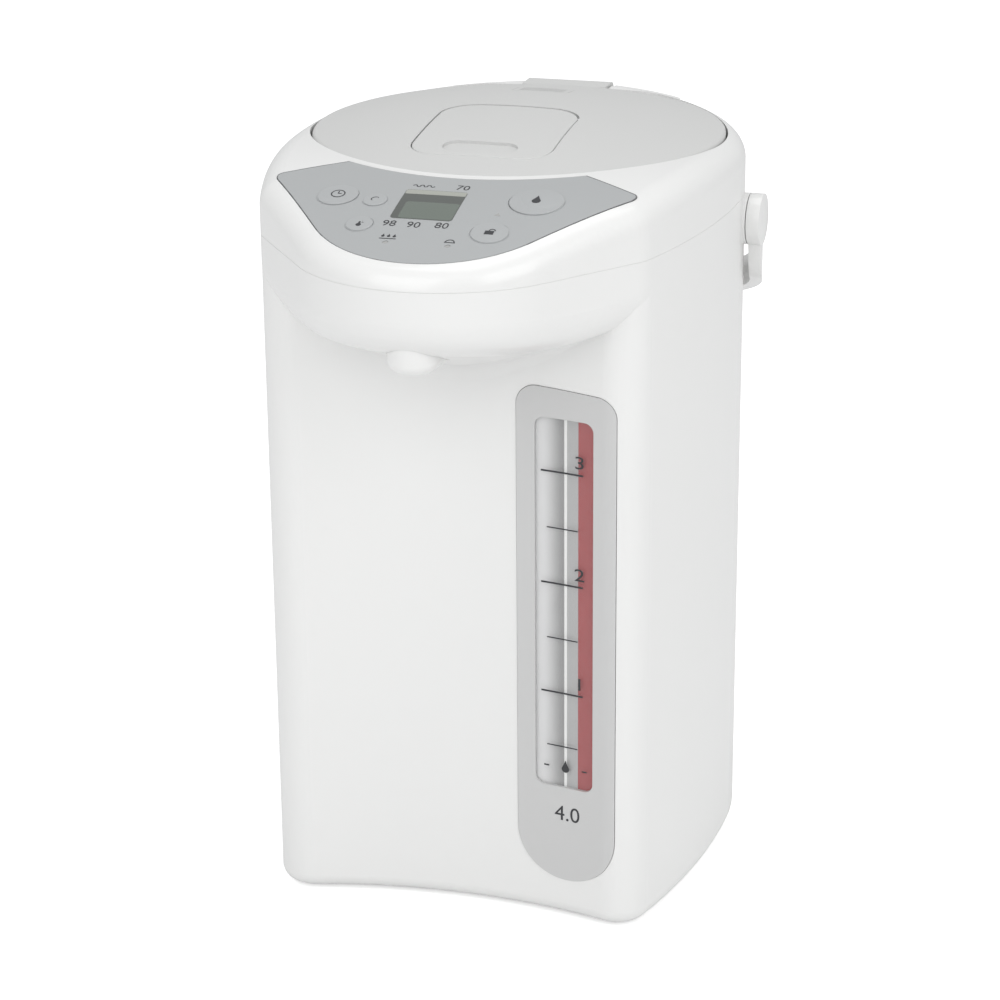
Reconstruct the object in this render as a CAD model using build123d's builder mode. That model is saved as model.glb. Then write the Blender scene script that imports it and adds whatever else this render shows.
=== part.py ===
"""Electric thermo pot: a hollow-fronted casing with a beak over the cup space, a domed
hinged lid with a pull-up lever, a sloping key panel, a water gauge and a folding bail."""
from build123d import *
from math import acos, atan2, cos, degrees, hypot, radians, sin, sqrt, tan
import os

os.makedirs("parts", exist_ok=True)

# ---- overall form, in mm, measured from the pot's upright axis and from the floor ----
casing_half_width = 100.5
flank_radius = 346.0
front_wall_y = -103.0          # middle of the hollow front wall
front_hollow_radius = 247.6
front_corner_radius = 15.0
casing_wall = 2.6
casing_foot = 1.6              # lower edge of the casing above the floor
foot_round = 7.0
parting_height = 304.7         # joint between casing and top ring
parting_gap = 0.3
beak_reach = 175.5             # pot axis to the tip of the beak
nose_radius = 64.5
cheek_y = -107.0               # where the beak leaves the casing's flanks
cheek_radius = 18.0
beak_depth = 52.7
funnel_height = parting_height - beak_depth  # lowest point of the beak's funnel-shaped underside
funnel_slope = 21.0            # degrees
chin_radius = 18.0
funnel_axis_y = -90.0          # the funnel's own axis stands inside the casing
beak_root_y = -72.0
ring_top = parting_height + 28.7
crown_radius = 1500.0
deck_tip_y = -168.0
deck_tip_height = ring_top - 18.9
deck_slope = 0.255             # rise per mm towards the lid
deck_bend_half = 14.0          # half the stretch over which the slope levels out
shoulder_radius = 11.5
handle_stand_off = 15.0        # casing to the back of the folded handle
handle_reach = casing_half_width + handle_stand_off

deck_skin = 3.0
lip_depth = 5.0                # register lip of the ring inside the casing
lip_sheet = 1.6

# ---- lid ----
lid_radius = 91.6
lid_gap = 0.9
lid_chord_y = lid_radius - 11.6  # straight rear edge
lid_chord_gap = 1.2
lid_corner_radius = 6.0
dome_height = ring_top + 8.6
dome_radius = 400.0
lid_skin = 2.5
lid_skirt_bottom = ring_top - 17.2
lid_edge_round = 2.0
hinge_y, hinge_z = lid_chord_y + 10.0, ring_top - 3.6
hinge_barrel_radius = 4.4
hinge_half_length = 20.0
hinge_pin_radius = 2.0
hinge_pin_reach = hinge_half_length + 6.0
lid_plate_sheet = 2.6
bowl_top_radius, bowl_floor_radius = 79.0, 77.0
bowl_bottom = lid_skirt_bottom - 15.2
bowl_wall = 2.2
inner_cover_sheet = 1.0
gasket_inner, gasket_outer = 76.4, 82.2
gasket_bottom = bowl_bottom - 4.6
vent_y = 42.0
vent_radius = 6.0
vent_half_width, vent_half_depth = 13.0, 7.0
lid_screw_ring = lid_radius - 7.6
lid_screw_angles = (25, 155, 205, 335)

# ---- lid lever and latch ----
lever_front_y, lever_back_y = -71.5, -3.5
lever_half_width, lever_knuckle_half = 31.0, 26.0
lever_axis_y, lever_axis_z = lever_back_y - 6.5, dome_height - 4.0
lever_knuckle_radius = 3.4
lever_sheet = 4.0
lever_gap = 0.5
lever_swing_room = 0.8         # extra gap behind the lever, whose heel swings back
lever_pocket_floor = dome_height - 11.2
lever_pin_radius = 1.5
lever_pin_half = lever_half_width + 1.0
lever_pocket_wall = 2.2
lever_corner = 14.0
lever_edge_round = 0.8
scoop_width, scoop_length, scoop_depth = 33.0, 11.0, 1.2
scoop_y = lever_front_y + 10.0
latch_half_width = 12.0
latch_bottom, latch_height = lid_skirt_bottom + 3.8, 4.0
latch_tip_y, latch_tail_y = -lid_radius - 0.4, -lid_radius + 24.0
latch_gap = 0.4
catch_depth = 4.0
latch_bevel = 1.5
guide_half = 5.0
spring_room = 12.0
spring_radius, spring_wire, spring_turns = 1.5, 0.35, 6

running_gap = 0.05
moving_gap = 0.6               # between parts that pass each other

# ---- inner pot and its well ----
pot_radius = 79.4
pot_floor = 59.0
pot_rim = gasket_bottom - 0.4
pot_sheet = 1.0
pot_corner_radius = 15.0
flange_radius = 86.0
seal_thickness = 1.2
well_wall = 2.2
ledge_height = lid_skirt_bottom - 0.5
collar_radius = 84.0

# ---- panel ----
panel_inset = 7.8
panel_kink_x, panel_kink_y = 51.0, -81.0
panel_corner_x, panel_corner_y = 79.0, -98.6
panel_back_radius = lid_radius + 5.0
panel_sheet = 1.2
lcd_sunk = 0.3
panel_corner_round = 4.0
lcd_x, lcd_y = -4.2, -121.2
lcd_width, lcd_depth = 25.4, 23.2
key_gap = 0.4
key_travel = 0.8
key_proud = 0.5
flange_drop = 2.0
board_depth = 12.0             # deck surface to the control board's face
board_sheet = 1.6
board_middle_y = -125.0
board_half_width, board_front_half = 62.0, 20.0
board_rear, board_shoulder, board_front = 22.0, 12.0, -34.0
hole_depth, hole_length = 8.0, 12.0    # cuts square to the deck
keys = {                       # x, y, radius
    "key_timer": (-44.5, -118.0, 8.5),
    "key_reboil": (-27.4, -121.0, 5.0),
    "key_temperature": (-28.0, -140.5, 5.6),
    "key_dispense": (39.0, -113.5, 11.2),
    "key_unlock": (27.0, -141.0, 7.8),
}
board_posts = [(-57.0, -108.5), (57.0, -108.5), (0.0, -155.0)]
board_post_radius = 2.6
lamp_places = [(-13.0, -153.0), (13.0, -153.0)]
lamp_radius = 1.1

# ---- gauge on the front wall: x and height ----
gauge_left, gauge_right = 27.3, 72.9
gauge_bottom = 20.0
gauge_top_left, gauge_top_right = funnel_height - 4.0, funnel_height - 6.2
window_left, window_right = 35.8, 62.4
window_bottom, window_top = 65.0, gauge_top_left - 14.0
window_round = 4.0
bezel_sheet, bezel_proud = 1.6, 0.4
window_sheet = 1.2
window_sunk = 0.3
bezel_corner = 9.0
tray_wall = 1.6
tray_margin = 2.4
tray_back_y = -90.5
stripe_left, stripe_right = 53.6, 62.6
tube_x, tube_y = 49.3, -97.4
tube_radius, tube_bore = 5.0, 3.8
tube_bottom, tube_top = window_bottom - 11.0, window_top + 12.0

# ---- spout, pump and water path ----
spout_y = 16.5 - beak_reach
spout_radius = 10.8
spout_bottom = funnel_height + 15.4
spout_tail = 15.0
spout_edge_round = 5.0
spout_bore = 4.5
valve_bottom = parting_height - 21.1
valve_radius = 9.0
valve_wall = 2.0
ball_radius = 4.0
ball_lift = 3.0
hose_radius = 5.0
hose_bore = 3.4
hose_bend = 12.0
hose_level = valve_bottom + 8.4
pump_radius = 20.0
pump_far = 78.0                # pot axis to the far side of the pump
pump_bearing = -46.4           # degrees from +X
pump_x = (pump_far - pump_radius) * cos(radians(pump_bearing))
pump_y = (pump_far - pump_radius) * sin(radians(pump_bearing))
pump_bottom, pump_top = 25.0, 39.0
pump_wall = 2.0
motor_radius, motor_bottom = 14.0, 5.7
spigot_radius = 6.0
impeller_radius = 15.0
vane_count = 6
vane_sheet, vane_height = 1.0, 4.8
hub_radius = 3.2
shaft_radius = 1.5

# ---- base ----
cover_inset = 8.0
opening_inset = 16.0
cover_bottom = 1.4
cover_seat = casing_foot + 1.4
cover_sheet = 2.6
foot_radius = 9.0
foot_places = [(-56.0, -80.0), (56.0, -80.0), (-52.0, 52.0), (52.0, 52.0)]
screw_head = 0.9
vent_grid_y = -20.0
vent_rows, vent_pitch = 6, 7.0
vent_length, vent_slot = 44.0, 2.6
post_inset = 12.0
post_radius = 4.2
post_height = 26.0
screw_radius = 1.6
screw_head_radius = 3.2
tray_height = 46.0
tray_sheet = 1.5
tray_radius = 86.4
shield_radius = 85.4
shield_sheet = 0.6
tray_post_ring = 74.0
band_bottom, band_height, band_sheet = 76.0, 24.0, 2.2
power_x, power_y, power_width, power_depth = 0.0, 38.0, 92.0, 44.0
thermostat_x, thermostat_y = -20.0, 10.0

# ---- handle ----
ear_y, ear_z = 18.0, parting_height - 12.7
ear_radius = 11.5
boss_face_x = casing_half_width + 0.7
ear_inner_x, ear_outer_x = boss_face_x + 0.4, boss_face_x + 6.2
handle_pin_radius = 4.0
bail_drop = 65.0               # rear end of the sloping bail below the pivots
bail_height = 13.0
bail_thickness = 5.6
bail_bend = 9.0                # side-view bend between the arms and the rear bar
bail_elbow_y, bail_elbow_drop = ear_y + 4.5, 21.5
pin_socket = 4.4               # blind bore of the ears

# ---- power inlet ----
inlet_half_width = 20.0
inlet_bottom, inlet_top = 19.0, 41.0
inlet_depth = 14.0
inlet_wall = 3.5
inlet_pin_radius = 2.0
inlet_pin_pitch = 14.0

fit_gap = 0.2                  # between fixed parts that fit into each other

# the row's origin is the middle of the footprint, so the pot's axis stands behind it
axis_y = (beak_reach - handle_reach) / 2
deck_bend_y = deck_tip_y + (ring_top - deck_tip_height) / deck_slope
tray_width = window_right - window_left + 2 * tray_margin
tray_length = window_top - window_bottom + 2 * tray_margin
tray_middle_x = (window_left + window_right) / 2
tray_middle_z = (window_bottom + window_top) / 2
crown_axis_z = ring_top - crown_radius


def level(height):
    """Level plane through the pot's axis."""
    return Plane(origin=(0, axis_y, height))


def upright(x):
    """Upright plane facing +X: local x runs to the rear, local y upwards."""
    return Plane(origin=(x, axis_y, 0), x_dir=(0, 1, 0), z_dir=(1, 0, 0))


def facing(y):
    """Upright plane facing the front: local x runs to the right, local y upwards."""
    return Plane(origin=(0, axis_y + y, 0), x_dir=(1, 0, 0), z_dir=(0, -1, 0))


def pot_axis(x=0.0, y=0.0):
    return Axis((x, axis_y + y, 0), (0, 0, 1))


def circles_meet(first, first_r, second, second_r):
    """Right-hand point where two circles cross."""
    dx, dy = second[0] - first[0], second[1] - first[1]
    span = hypot(dx, dy)
    along = (first_r**2 - second_r**2 + span**2) / (2 * span)
    off = sqrt(first_r**2 - along**2)
    base = (first[0] + along * dx / span, first[1] + along * dy / span)
    places = [
        (base[0] - off * dy / span, base[1] + off * dx / span),
        (base[0] + off * dy / span, base[1] - off * dx / span),
    ]
    return max(places)


def deck_height(x, y):
    """Height of the crowned deck above the floor at a point of the plan."""
    middle = min(deck_tip_height + deck_slope * (y - deck_tip_y), ring_top)
    return crown_axis_z + sqrt((middle - crown_axis_z) ** 2 - x**2)


deck_tilt = degrees(atan2(deck_slope, 1))


def deck_plane(x, y, sink=0.0):
    """Plane on the deck, its normal square to the deck's slope, sunk below the surface."""
    lean = radians(deck_tilt)
    origin = (x, axis_y + y + sink * sin(lean), deck_height(x, y) - sink * cos(lean))
    return Plane(origin=origin, x_dir=(1, 0, 0), z_dir=(0, -sin(lean), cos(lean)))


# ---- plan outlines ----
flank_centre = (casing_half_width - flank_radius, 0.0)
hollow_centre = (0.0, front_wall_y - front_hollow_radius)
corner = circles_meet(flank_centre, flank_radius, hollow_centre, front_hollow_radius)


def flank_x(y):
    return flank_centre[0] + sqrt(flank_radius**2 - y**2)


with BuildSketch() as casing_plan:
    with BuildLine():
        half_way = corner[1] / 2
        ThreePointArc((casing_half_width, 0), (0, casing_half_width), (-casing_half_width, 0))
        ThreePointArc((-casing_half_width, 0), (-flank_x(half_way), half_way), (-corner[0], corner[1]))
        ThreePointArc((-corner[0], corner[1]), (0, front_wall_y), corner)
        ThreePointArc(corner, (flank_x(half_way), half_way), (casing_half_width, 0))
    make_face()
    fillet(casing_plan.vertices().group_by(Axis.Y)[0], front_corner_radius)

nose_centre_y = nose_radius - beak_reach
cheek = (flank_x(cheek_y), cheek_y)
cheek_span = hypot(cheek[0], cheek[1] - nose_centre_y)
cheek_angle = atan2(cheek[1] - nose_centre_y, cheek[0]) - acos(nose_radius / cheek_span)
nose_end = (nose_radius * cos(cheek_angle), nose_centre_y + nose_radius * sin(cheek_angle))

with BuildSketch() as beak_plan:
    with BuildLine():
        ThreePointArc((casing_half_width, 0), (0, casing_half_width), (-casing_half_width, 0))
        ThreePointArc((-casing_half_width, 0), (-flank_x(cheek_y / 2), cheek_y / 2), (-cheek[0], cheek[1]))
        Line((-cheek[0], cheek[1]), (-nose_end[0], nose_end[1]))
        ThreePointArc((-nose_end[0], nose_end[1]), (0, -beak_reach), nose_end)
        Line(nose_end, cheek)
        ThreePointArc(cheek, (flank_x(cheek_y / 2), cheek_y / 2), (casing_half_width, 0))
    make_face()
    corners = [v for v in beak_plan.vertices() if abs(v.Y - cheek_y) < 0.01]
    fillet(corners, cheek_radius)

with BuildSketch() as lid_plan:
    Circle(lid_radius)
    with Locations((0, lid_chord_y)):
        Rectangle(3 * lid_radius, 2 * lid_radius, align=(Align.CENTER, Align.MIN), mode=Mode.SUBTRACT)
    fillet(lid_plan.vertices().group_by(Axis.Y)[-1], lid_corner_radius)

with BuildSketch() as lid_hole_plan:
    Circle(lid_radius + lid_gap)
    with Locations((0, lid_chord_y + lid_chord_gap)):
        Rectangle(3 * lid_radius, 2 * lid_radius, align=(Align.CENTER, Align.MIN), mode=Mode.SUBTRACT)
    fillet(lid_hole_plan.vertices().group_by(Axis.Y)[-1], lid_corner_radius + lid_gap)


def panel_outline(margin=0.0):
    """Plan of the key panel, grown by a margin."""
    reach = beak_reach + 20
    slope = (panel_corner_y - panel_kink_y) / (panel_corner_x - panel_kink_x)
    kink_y = panel_kink_y + margin
    far_y = kink_y + slope * (reach - panel_kink_x)
    with BuildSketch() as outline:
        add(beak_plan.sketch)
        offset(amount=margin - panel_inset)
        with BuildLine():
            Polyline((-reach, far_y), (-panel_kink_x, kink_y), (panel_kink_x, kink_y),
                     (reach, far_y), (reach, -reach), (-reach, -reach), close=True)
        make_face(mode=Mode.INTERSECT)
        Circle(panel_back_radius - margin, mode=Mode.SUBTRACT)
        tips = outline.vertices().sort_by(Axis.X)
        fillet([tips[0], tips[-1]], panel_corner_round + margin)
    return outline.sketch


with BuildSketch() as panel_plan:
    add(panel_outline())


# ---- crowned solids: everything under the deck, or under the lid's dome ----
def under_deck(drop=0.0):
    """Solid below the crowned deck, lowered by drop."""
    top = crown_radius - drop
    front, rear = -beak_reach - 40, casing_half_width + 40
    with BuildPart() as block:
        with BuildSketch(Plane(origin=(0, axis_y, crown_axis_z), x_dir=(0, 1, 0), z_dir=(-1, 0, 0))):
            with BuildLine():
                start = (front, top + deck_slope * (front - deck_bend_y))
                middle = ((front + deck_bend_y - deck_bend_half) / 2,
                          top + deck_slope * (front - deck_bend_y - deck_bend_half) / 2)
                Spline(start, middle, (deck_bend_y - deck_bend_half, top - deck_slope * deck_bend_half),
                       (deck_bend_y + deck_bend_half, top), (0, top), (rear, top),
                       tangents=[(1, deck_slope), (1, 0)])
                Polyline((rear, top), (rear, crown_radius / 2), (front, crown_radius / 2), start)
            make_face()
        revolve(axis=Axis((0, axis_y, crown_axis_z), (0, 1, 0)))
    return block.part


def under_dome(drop=0.0):
    """Solid ball whose top is the lid's dome, lowered by drop."""
    centre = Plane(origin=(0, axis_y, dome_height - dome_radius), x_dir=(0, 0, -1), z_dir=(1, 0, 0))
    with BuildPart(centre) as ball:
        Sphere(dome_radius - drop)
    return ball.part


def funnel_below(raise_by=0.0):
    """Everything under the beak's funnel-shaped underside."""
    far = 220.0
    rise = tan(radians(funnel_slope))
    low = funnel_height - rise * (funnel_axis_y - front_wall_y) + raise_by
    with BuildPart() as cone:
        with BuildSketch(upright(0)):
            with BuildLine():
                Polyline((funnel_axis_y, low - far), (funnel_axis_y, low),
                         (funnel_axis_y - far, low + far * rise), (funnel_axis_y - far, low - far), close=True)
            make_face()
        revolve(axis=pot_axis(0, funnel_axis_y))
    return cone.part


def beak_block(inset, chin):
    """Beak between its underside and the parting line, with a rounded chin."""
    with BuildPart() as block:
        with BuildSketch(level(funnel_height - 40)):
            add(beak_plan.sketch)
            if inset:
                offset(amount=-inset)
            with Locations((0, beak_root_y)):
                Rectangle(4 * beak_reach, 4 * beak_reach, align=(Align.CENTER, Align.MIN), mode=Mode.SUBTRACT)
        extrude(amount=parting_height - funnel_height + 40)
        add(funnel_below(inset / cos(radians(funnel_slope))), mode=Mode.SUBTRACT)
        cone_faces = block.faces().filter_by(GeomType.CONE)
        rim = [e for e in cone_faces.edges() if e.geom_type != GeomType.LINE
               and e.bounding_box().min.Y < axis_y + beak_root_y - 1]
        fillet(rim, chin)
    return block.part


def casing_block(inset, foot, round_radius):
    with BuildPart() as block:
        with BuildSketch(level(foot)):
            add(casing_plan.sketch)
            if inset:
                offset(amount=-inset)
        extrude(amount=parting_height - foot)
        fillet(block.faces().sort_by(Axis.Z)[0].edges(), round_radius)
    return block.part


def box_prism(plane, x, y, width, depth, height):
    """Plain block standing on a plane."""
    with BuildPart() as block:
        with BuildSketch(plane):
            with Locations((x, y)):
                Rectangle(width, depth)
        extrude(amount=height)
    return block.part


def rod(plane, places, radius, length, bore=0.0):
    """Round bars or tubes standing on a plane."""
    with BuildPart() as bars:
        with BuildSketch(plane):
            with Locations(*places):
                Circle(radius)
                if bore:
                    Circle(bore, mode=Mode.SUBTRACT)
        extrude(amount=length)
    return bars.part


def plan_prism(plan, inset, bottom, top):
    """A plan outline moved inwards and extruded between two heights."""
    with BuildPart() as prism:
        with BuildSketch(level(bottom)):
            add(plan.sketch)
            if inset:
                offset(amount=-inset)
        extrude(amount=top - bottom)
    return prism.part


def gauge_outline(margin=0.0):
    """Bezel outline: slanted top edge, round bottom end."""
    middle = (gauge_left + gauge_right) / 2
    end_radius = (gauge_right - gauge_left) / 2
    with BuildSketch(facing(front_wall_y - 30)) as outline:
        with BuildLine():
            Line((gauge_left, gauge_bottom + end_radius), (gauge_left, gauge_top_left))
            Line((gauge_left, gauge_top_left), (gauge_right, gauge_top_right))
            Line((gauge_right, gauge_top_right), (gauge_right, gauge_bottom + end_radius))
            ThreePointArc((gauge_right, gauge_bottom + end_radius), (middle, gauge_bottom),
                          (gauge_left, gauge_bottom + end_radius))
        make_face()
        fillet([v for v in outline.vertices() if v.Y > gauge_bottom + 2 * end_radius], bezel_corner)
        if margin:
            offset(amount=margin)
    return outline.sketch


def window_outline(margin=0.0):
    with BuildSketch(facing(front_wall_y - 30)) as outline:
        with Locations(((window_left + window_right) / 2, (window_bottom + window_top) / 2)):
            RectangleRounded(window_right - window_left + 2 * margin,
                             window_top - window_bottom + 2 * margin, window_round + margin)
    return outline.sketch


def wall_band(outside, inside, outline):
    """Slice of the curved front wall between two depths, trimmed to an outline."""
    with BuildPart() as band:
        with BuildSketch(level(gauge_bottom - 10)):
            add(casing_plan.sketch)
            offset(amount=outside)
        extrude(amount=gauge_top_left - gauge_bottom + 20)
        with BuildSketch(level(gauge_bottom - 10)):
            add(casing_plan.sketch)
            offset(amount=-inside)
        extrude(amount=gauge_top_left - gauge_bottom + 20, mode=Mode.SUBTRACT)
        extrude(outline, amount=60, dir=(0, 1, 0), mode=Mode.INTERSECT)
    return band.part


def spout_outline(margin=0.0):
    """U-shaped plan of the spout, open end running back under the beak."""
    radius = spout_radius + margin
    with BuildSketch(level(spout_bottom)) as outline:
        with Locations((0, spout_y)):
            Circle(radius)
        with Locations((0, spout_y)):
            Rectangle(2 * radius, spout_tail + margin, align=(Align.CENTER, Align.MIN))
    return outline.sketch


def panel_key(name, grow=0.0, top=3.0, bottom=6.0):
    """Round key shaft square to the deck."""
    x, y, radius = keys[name]
    return rod(deck_plane(x, y, bottom), [(0, 0)], radius + grow, bottom + top)


def hose(points, bend, bore):
    """Water hose: a round tube along a bent route."""
    with BuildPart() as pipe:
        with BuildLine() as route:
            FilletPolyline(*[(x, axis_y + y, z) for x, y, z in points], radius=bend)
        with BuildSketch(Plane(origin=route.line @ 0, z_dir=route.line % 0)):
            Circle(hose_radius)
            Circle(bore, mode=Mode.SUBTRACT)
        sweep()
    return pipe.part


# ---- casing ----
inner_foot = casing_foot + casing_wall
outer_casing = casing_block(0, casing_foot, foot_round)
inner_casing = casing_block(casing_wall, inner_foot, foot_round - casing_wall)
outer_beak = beak_block(0, chin_radius)
inner_beak = beak_block(casing_wall, chin_radius - casing_wall)

post_angle = 45
post_ring = casing_half_width - post_inset
rear_posts = [(post_ring * cos(radians(a)), post_ring * sin(radians(a))) for a in (post_angle, 180 - post_angle)]
corner_arcs = [e for e in casing_plan.edges().filter_by(GeomType.CIRCLE)
               if abs(e.radius - front_corner_radius) < 0.01]
corner_x = max(e.arc_center.X for e in corner_arcs)
corner_y = min(e.arc_center.Y for e in corner_arcs)
diagonal = (front_corner_radius - post_inset) * cos(radians(post_angle))
front_posts = [(side * (corner_x + diagonal), corner_y - diagonal) for side in (1, -1)]
casing_posts = rear_posts + front_posts

inlet_front_y = casing_half_width - casing_wall - inlet_depth
inlet_middle = (inlet_bottom + inlet_top) / 2

with BuildPart() as body_casing:
    add(outer_casing)
    add(outer_beak)
    for side in (1, -1):
        add(rod(upright(side * (casing_half_width - 8)), [(ear_y, ear_z)], ear_radius,
                side * (boss_face_x - casing_half_width + 8)))
    add(inner_casing, mode=Mode.SUBTRACT)
    add(inner_beak, mode=Mode.SUBTRACT)
    add(plan_prism(casing_plan, opening_inset, casing_foot - 1, inner_foot + 1), mode=Mode.SUBTRACT)
    add(plan_prism(casing_plan, cover_inset, casing_foot - 1, cover_seat), mode=Mode.SUBTRACT)
    add(rod(level(inner_foot - 0.5), casing_posts, post_radius, post_height))
    for side in (1, -1):
        add(rod(upright(side * (casing_half_width - 12)), [(ear_y, ear_z)], handle_pin_radius + 3,
                side * (12 - casing_wall / 2)))
        add(rod(upright(side * (casing_half_width - 12)), [(ear_y, ear_z)], handle_pin_radius,
                side * 20), mode=Mode.SUBTRACT)
    add(rod(level(cover_bottom), casing_posts, screw_radius, post_height), mode=Mode.SUBTRACT)
    add(wall_band(1, bezel_sheet - bezel_proud + fit_gap, gauge_outline(fit_gap)), mode=Mode.SUBTRACT)
    add(box_prism(facing(front_wall_y - 30), tray_middle_x, tray_middle_z, tray_width + 2 * fit_gap,
                  tray_length + 2 * fit_gap, -60), mode=Mode.SUBTRACT)
    extrude(spout_outline(fit_gap), amount=40, dir=(0, 0, 1), mode=Mode.SUBTRACT)
    add(box_prism(level(inlet_bottom - fit_gap), 0, casing_half_width, 2 * (inlet_half_width + fit_gap),
                  20, inlet_top - inlet_bottom + 2 * fit_gap), mode=Mode.SUBTRACT)


# ---- top ring: deck, shoulder, lid opening and well ----
ring_foot = parting_height + parting_gap
core_round = shoulder_radius - casing_wall
well_radius = lid_radius + lid_gap
well_outer = well_radius + well_wall
collar_foot = pot_rim + seal_thickness
collar_sheet = 2.8
slot_half_width = hinge_half_length + moving_gap
slot_floor = hinge_z - hinge_barrel_radius - moving_gap
headroom = 20.0


def top_face(solid):
    """The crowned face on top of a block cut by the deck."""
    return [f for f in solid.faces() if f.normal_at().Z > 0.8][0]


with BuildPart() as head_form:
    add(plan_prism(beak_plan, 0, ring_foot, ring_top + headroom))
    add(under_deck(), mode=Mode.INTERSECT)
    fillet(top_face(head_form.part).edges(), shoulder_radius)

with BuildPart() as head_core:
    add(plan_prism(beak_plan, casing_wall, ring_foot - headroom, ring_top + headroom))
    add(under_deck(deck_skin), mode=Mode.INTERSECT)
    fillet(top_face(head_core.part).edges(), core_round)

with BuildPart() as well_wall_form:
    with BuildSketch(upright(0)):
        with BuildLine():
            Polyline((well_radius - 3.4, ledge_height), (collar_radius + 2.5, collar_foot + collar_sheet),
                     (collar_radius, collar_foot + collar_sheet), (collar_radius, collar_foot),
                     (collar_radius + 4.2, collar_foot), (collar_radius + 4.2, collar_foot + 1.8),
                     (well_radius - 1.5, ledge_height - 2.4), (well_outer, ledge_height - 2.4),
                     (well_outer, ring_top + headroom), (well_radius, ring_top + headroom),
                     (well_radius, ledge_height), close=True)
        make_face()
    revolve(axis=pot_axis())
    with BuildSketch(level(ledge_height - 2.4)):
        Circle(casing_half_width - casing_wall + 0.1)
        with Locations((0, lid_chord_y + lid_chord_gap)):
            Rectangle(4 * lid_radius, 4 * lid_radius, align=(Align.CENTER, Align.MAX), mode=Mode.SUBTRACT)
    extrude(amount=headroom + ring_top - ledge_height)
    add(under_deck(deck_skin / 2), mode=Mode.INTERSECT)
    add(plan_prism(beak_plan, casing_wall / 2, collar_foot - 5, ring_top + headroom), mode=Mode.INTERSECT)

with BuildPart() as panel_recess:
    with BuildSketch(level(ring_foot)):
        add(panel_outline(fit_gap))
    extrude(amount=2 * headroom + 10)
    add(under_deck(panel_sheet + fit_gap), mode=Mode.SUBTRACT)

with BuildPart() as top_ring:
    add(head_form.part)
    add(head_core.part, mode=Mode.SUBTRACT)
    add(well_wall_form.part)
    with BuildSketch(level(parting_height - lip_depth)):
        add(beak_plan.sketch)
        offset(amount=-(casing_wall + fit_gap))
    extrude(amount=lip_depth + 4)
    with BuildSketch(level(parting_height - lip_depth - 1)):
        add(beak_plan.sketch)
        offset(amount=-(casing_wall + fit_gap + lip_sheet))
    extrude(amount=lip_depth + 6, mode=Mode.SUBTRACT)
    add(well_wall_form.part)
    add(plan_prism(lid_hole_plan, 0, ledge_height, ring_top + headroom), mode=Mode.SUBTRACT)
    add(box_prism(level(slot_floor), 0, lid_chord_y + 30, 2 * slot_half_width, 60, headroom), mode=Mode.SUBTRACT)
    add(rod(upright(-hinge_pin_reach), [(hinge_y, hinge_z)], hinge_pin_radius, 2 * hinge_pin_reach),
        mode=Mode.SUBTRACT)
    add(box_prism(level(latch_bottom - 1), 0, catch_depth / 2 - well_radius - 1.8,
                  2 * latch_half_width + 2, catch_depth, latch_height + 2), mode=Mode.SUBTRACT)
    add(panel_recess.part, mode=Mode.SUBTRACT)
    for name in keys:
        add(panel_key(name, key_gap + 0.4), mode=Mode.SUBTRACT)
    add(box_prism(deck_plane(lcd_x, lcd_y, hole_depth), 0, 0, lcd_width - 2, lcd_depth - 2, hole_length), mode=Mode.SUBTRACT)
    for place in lamp_places:
        add(rod(deck_plane(*place, hole_depth), [(0, 0)], lamp_radius + fit_gap, hole_length), mode=Mode.SUBTRACT)
    for x, y in board_posts:
        add(rod(deck_plane(0, y, board_depth), [(x, 0)], board_post_radius,
                board_depth - deck_skin + 0.5 - x**2 / (2 * crown_radius)))


# ---- lid ----
def lever_outline(margin=0.0):
    """Plan of the pull-up lever."""
    with BuildSketch(level(lever_pocket_floor - lever_pocket_wall)) as outline:
        with Locations((0, (lever_front_y + lever_back_y) / 2)):
            RectangleRounded(2 * (lever_half_width + margin), lever_back_y - lever_front_y + 2 * margin,
                             lever_corner + margin)
    return outline.sketch


with BuildPart() as lever_form:
    extrude(lever_outline(), amount=headroom, dir=(0, 0, 1))
    add(under_dome(lever_sheet), mode=Mode.SUBTRACT)
    with BuildSketch(upright(-lever_knuckle_half)):
        with Locations((lever_axis_y, lever_axis_z)):
            Circle(lever_knuckle_radius)
    extrude(amount=2 * lever_knuckle_half)
    add(under_dome(), mode=Mode.INTERSECT)


def lever_room(margin, floor):
    """Space swept by the lever's outline with a margin, longer at the heel."""
    with BuildPart() as room:
        extrude(lever_outline(margin), amount=headroom, dir=(0, 0, 1))
        with Locations((0, lever_swing_room, 0)):
            add(lever_outline(margin))
        extrude(amount=headroom)
        add(plan_prism(lid_plan, 0, floor, dome_height + 5), mode=Mode.INTERSECT)
    return room.part


with BuildPart() as lever_pocket:
    add(lever_room(lever_gap, lever_pocket_floor))

with BuildPart() as pocket_block:
    add(lever_room(lever_gap + lever_pocket_wall, lever_pocket_floor - lever_pocket_wall + 0.1))
    add(under_dome(lid_skin / 2), mode=Mode.INTERSECT)

lid_inside = lid_skirt_bottom + lid_plate_sheet
with BuildPart() as lid_hollow:
    add(plan_prism(lid_plan, lid_skin, lid_inside, dome_height + 5))
    add(under_dome(lid_skin), mode=Mode.INTERSECT)

with BuildPart() as hinge_arm:
    with BuildSketch(upright(-hinge_half_length)):
        with Locations((hinge_y, hinge_z)):
            Circle(hinge_barrel_radius)
            Rectangle(hinge_y - lid_chord_y + lid_skin, 2 * hinge_barrel_radius, align=(Align.MAX, Align.CENTER))
    extrude(amount=2 * hinge_half_length)

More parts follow.
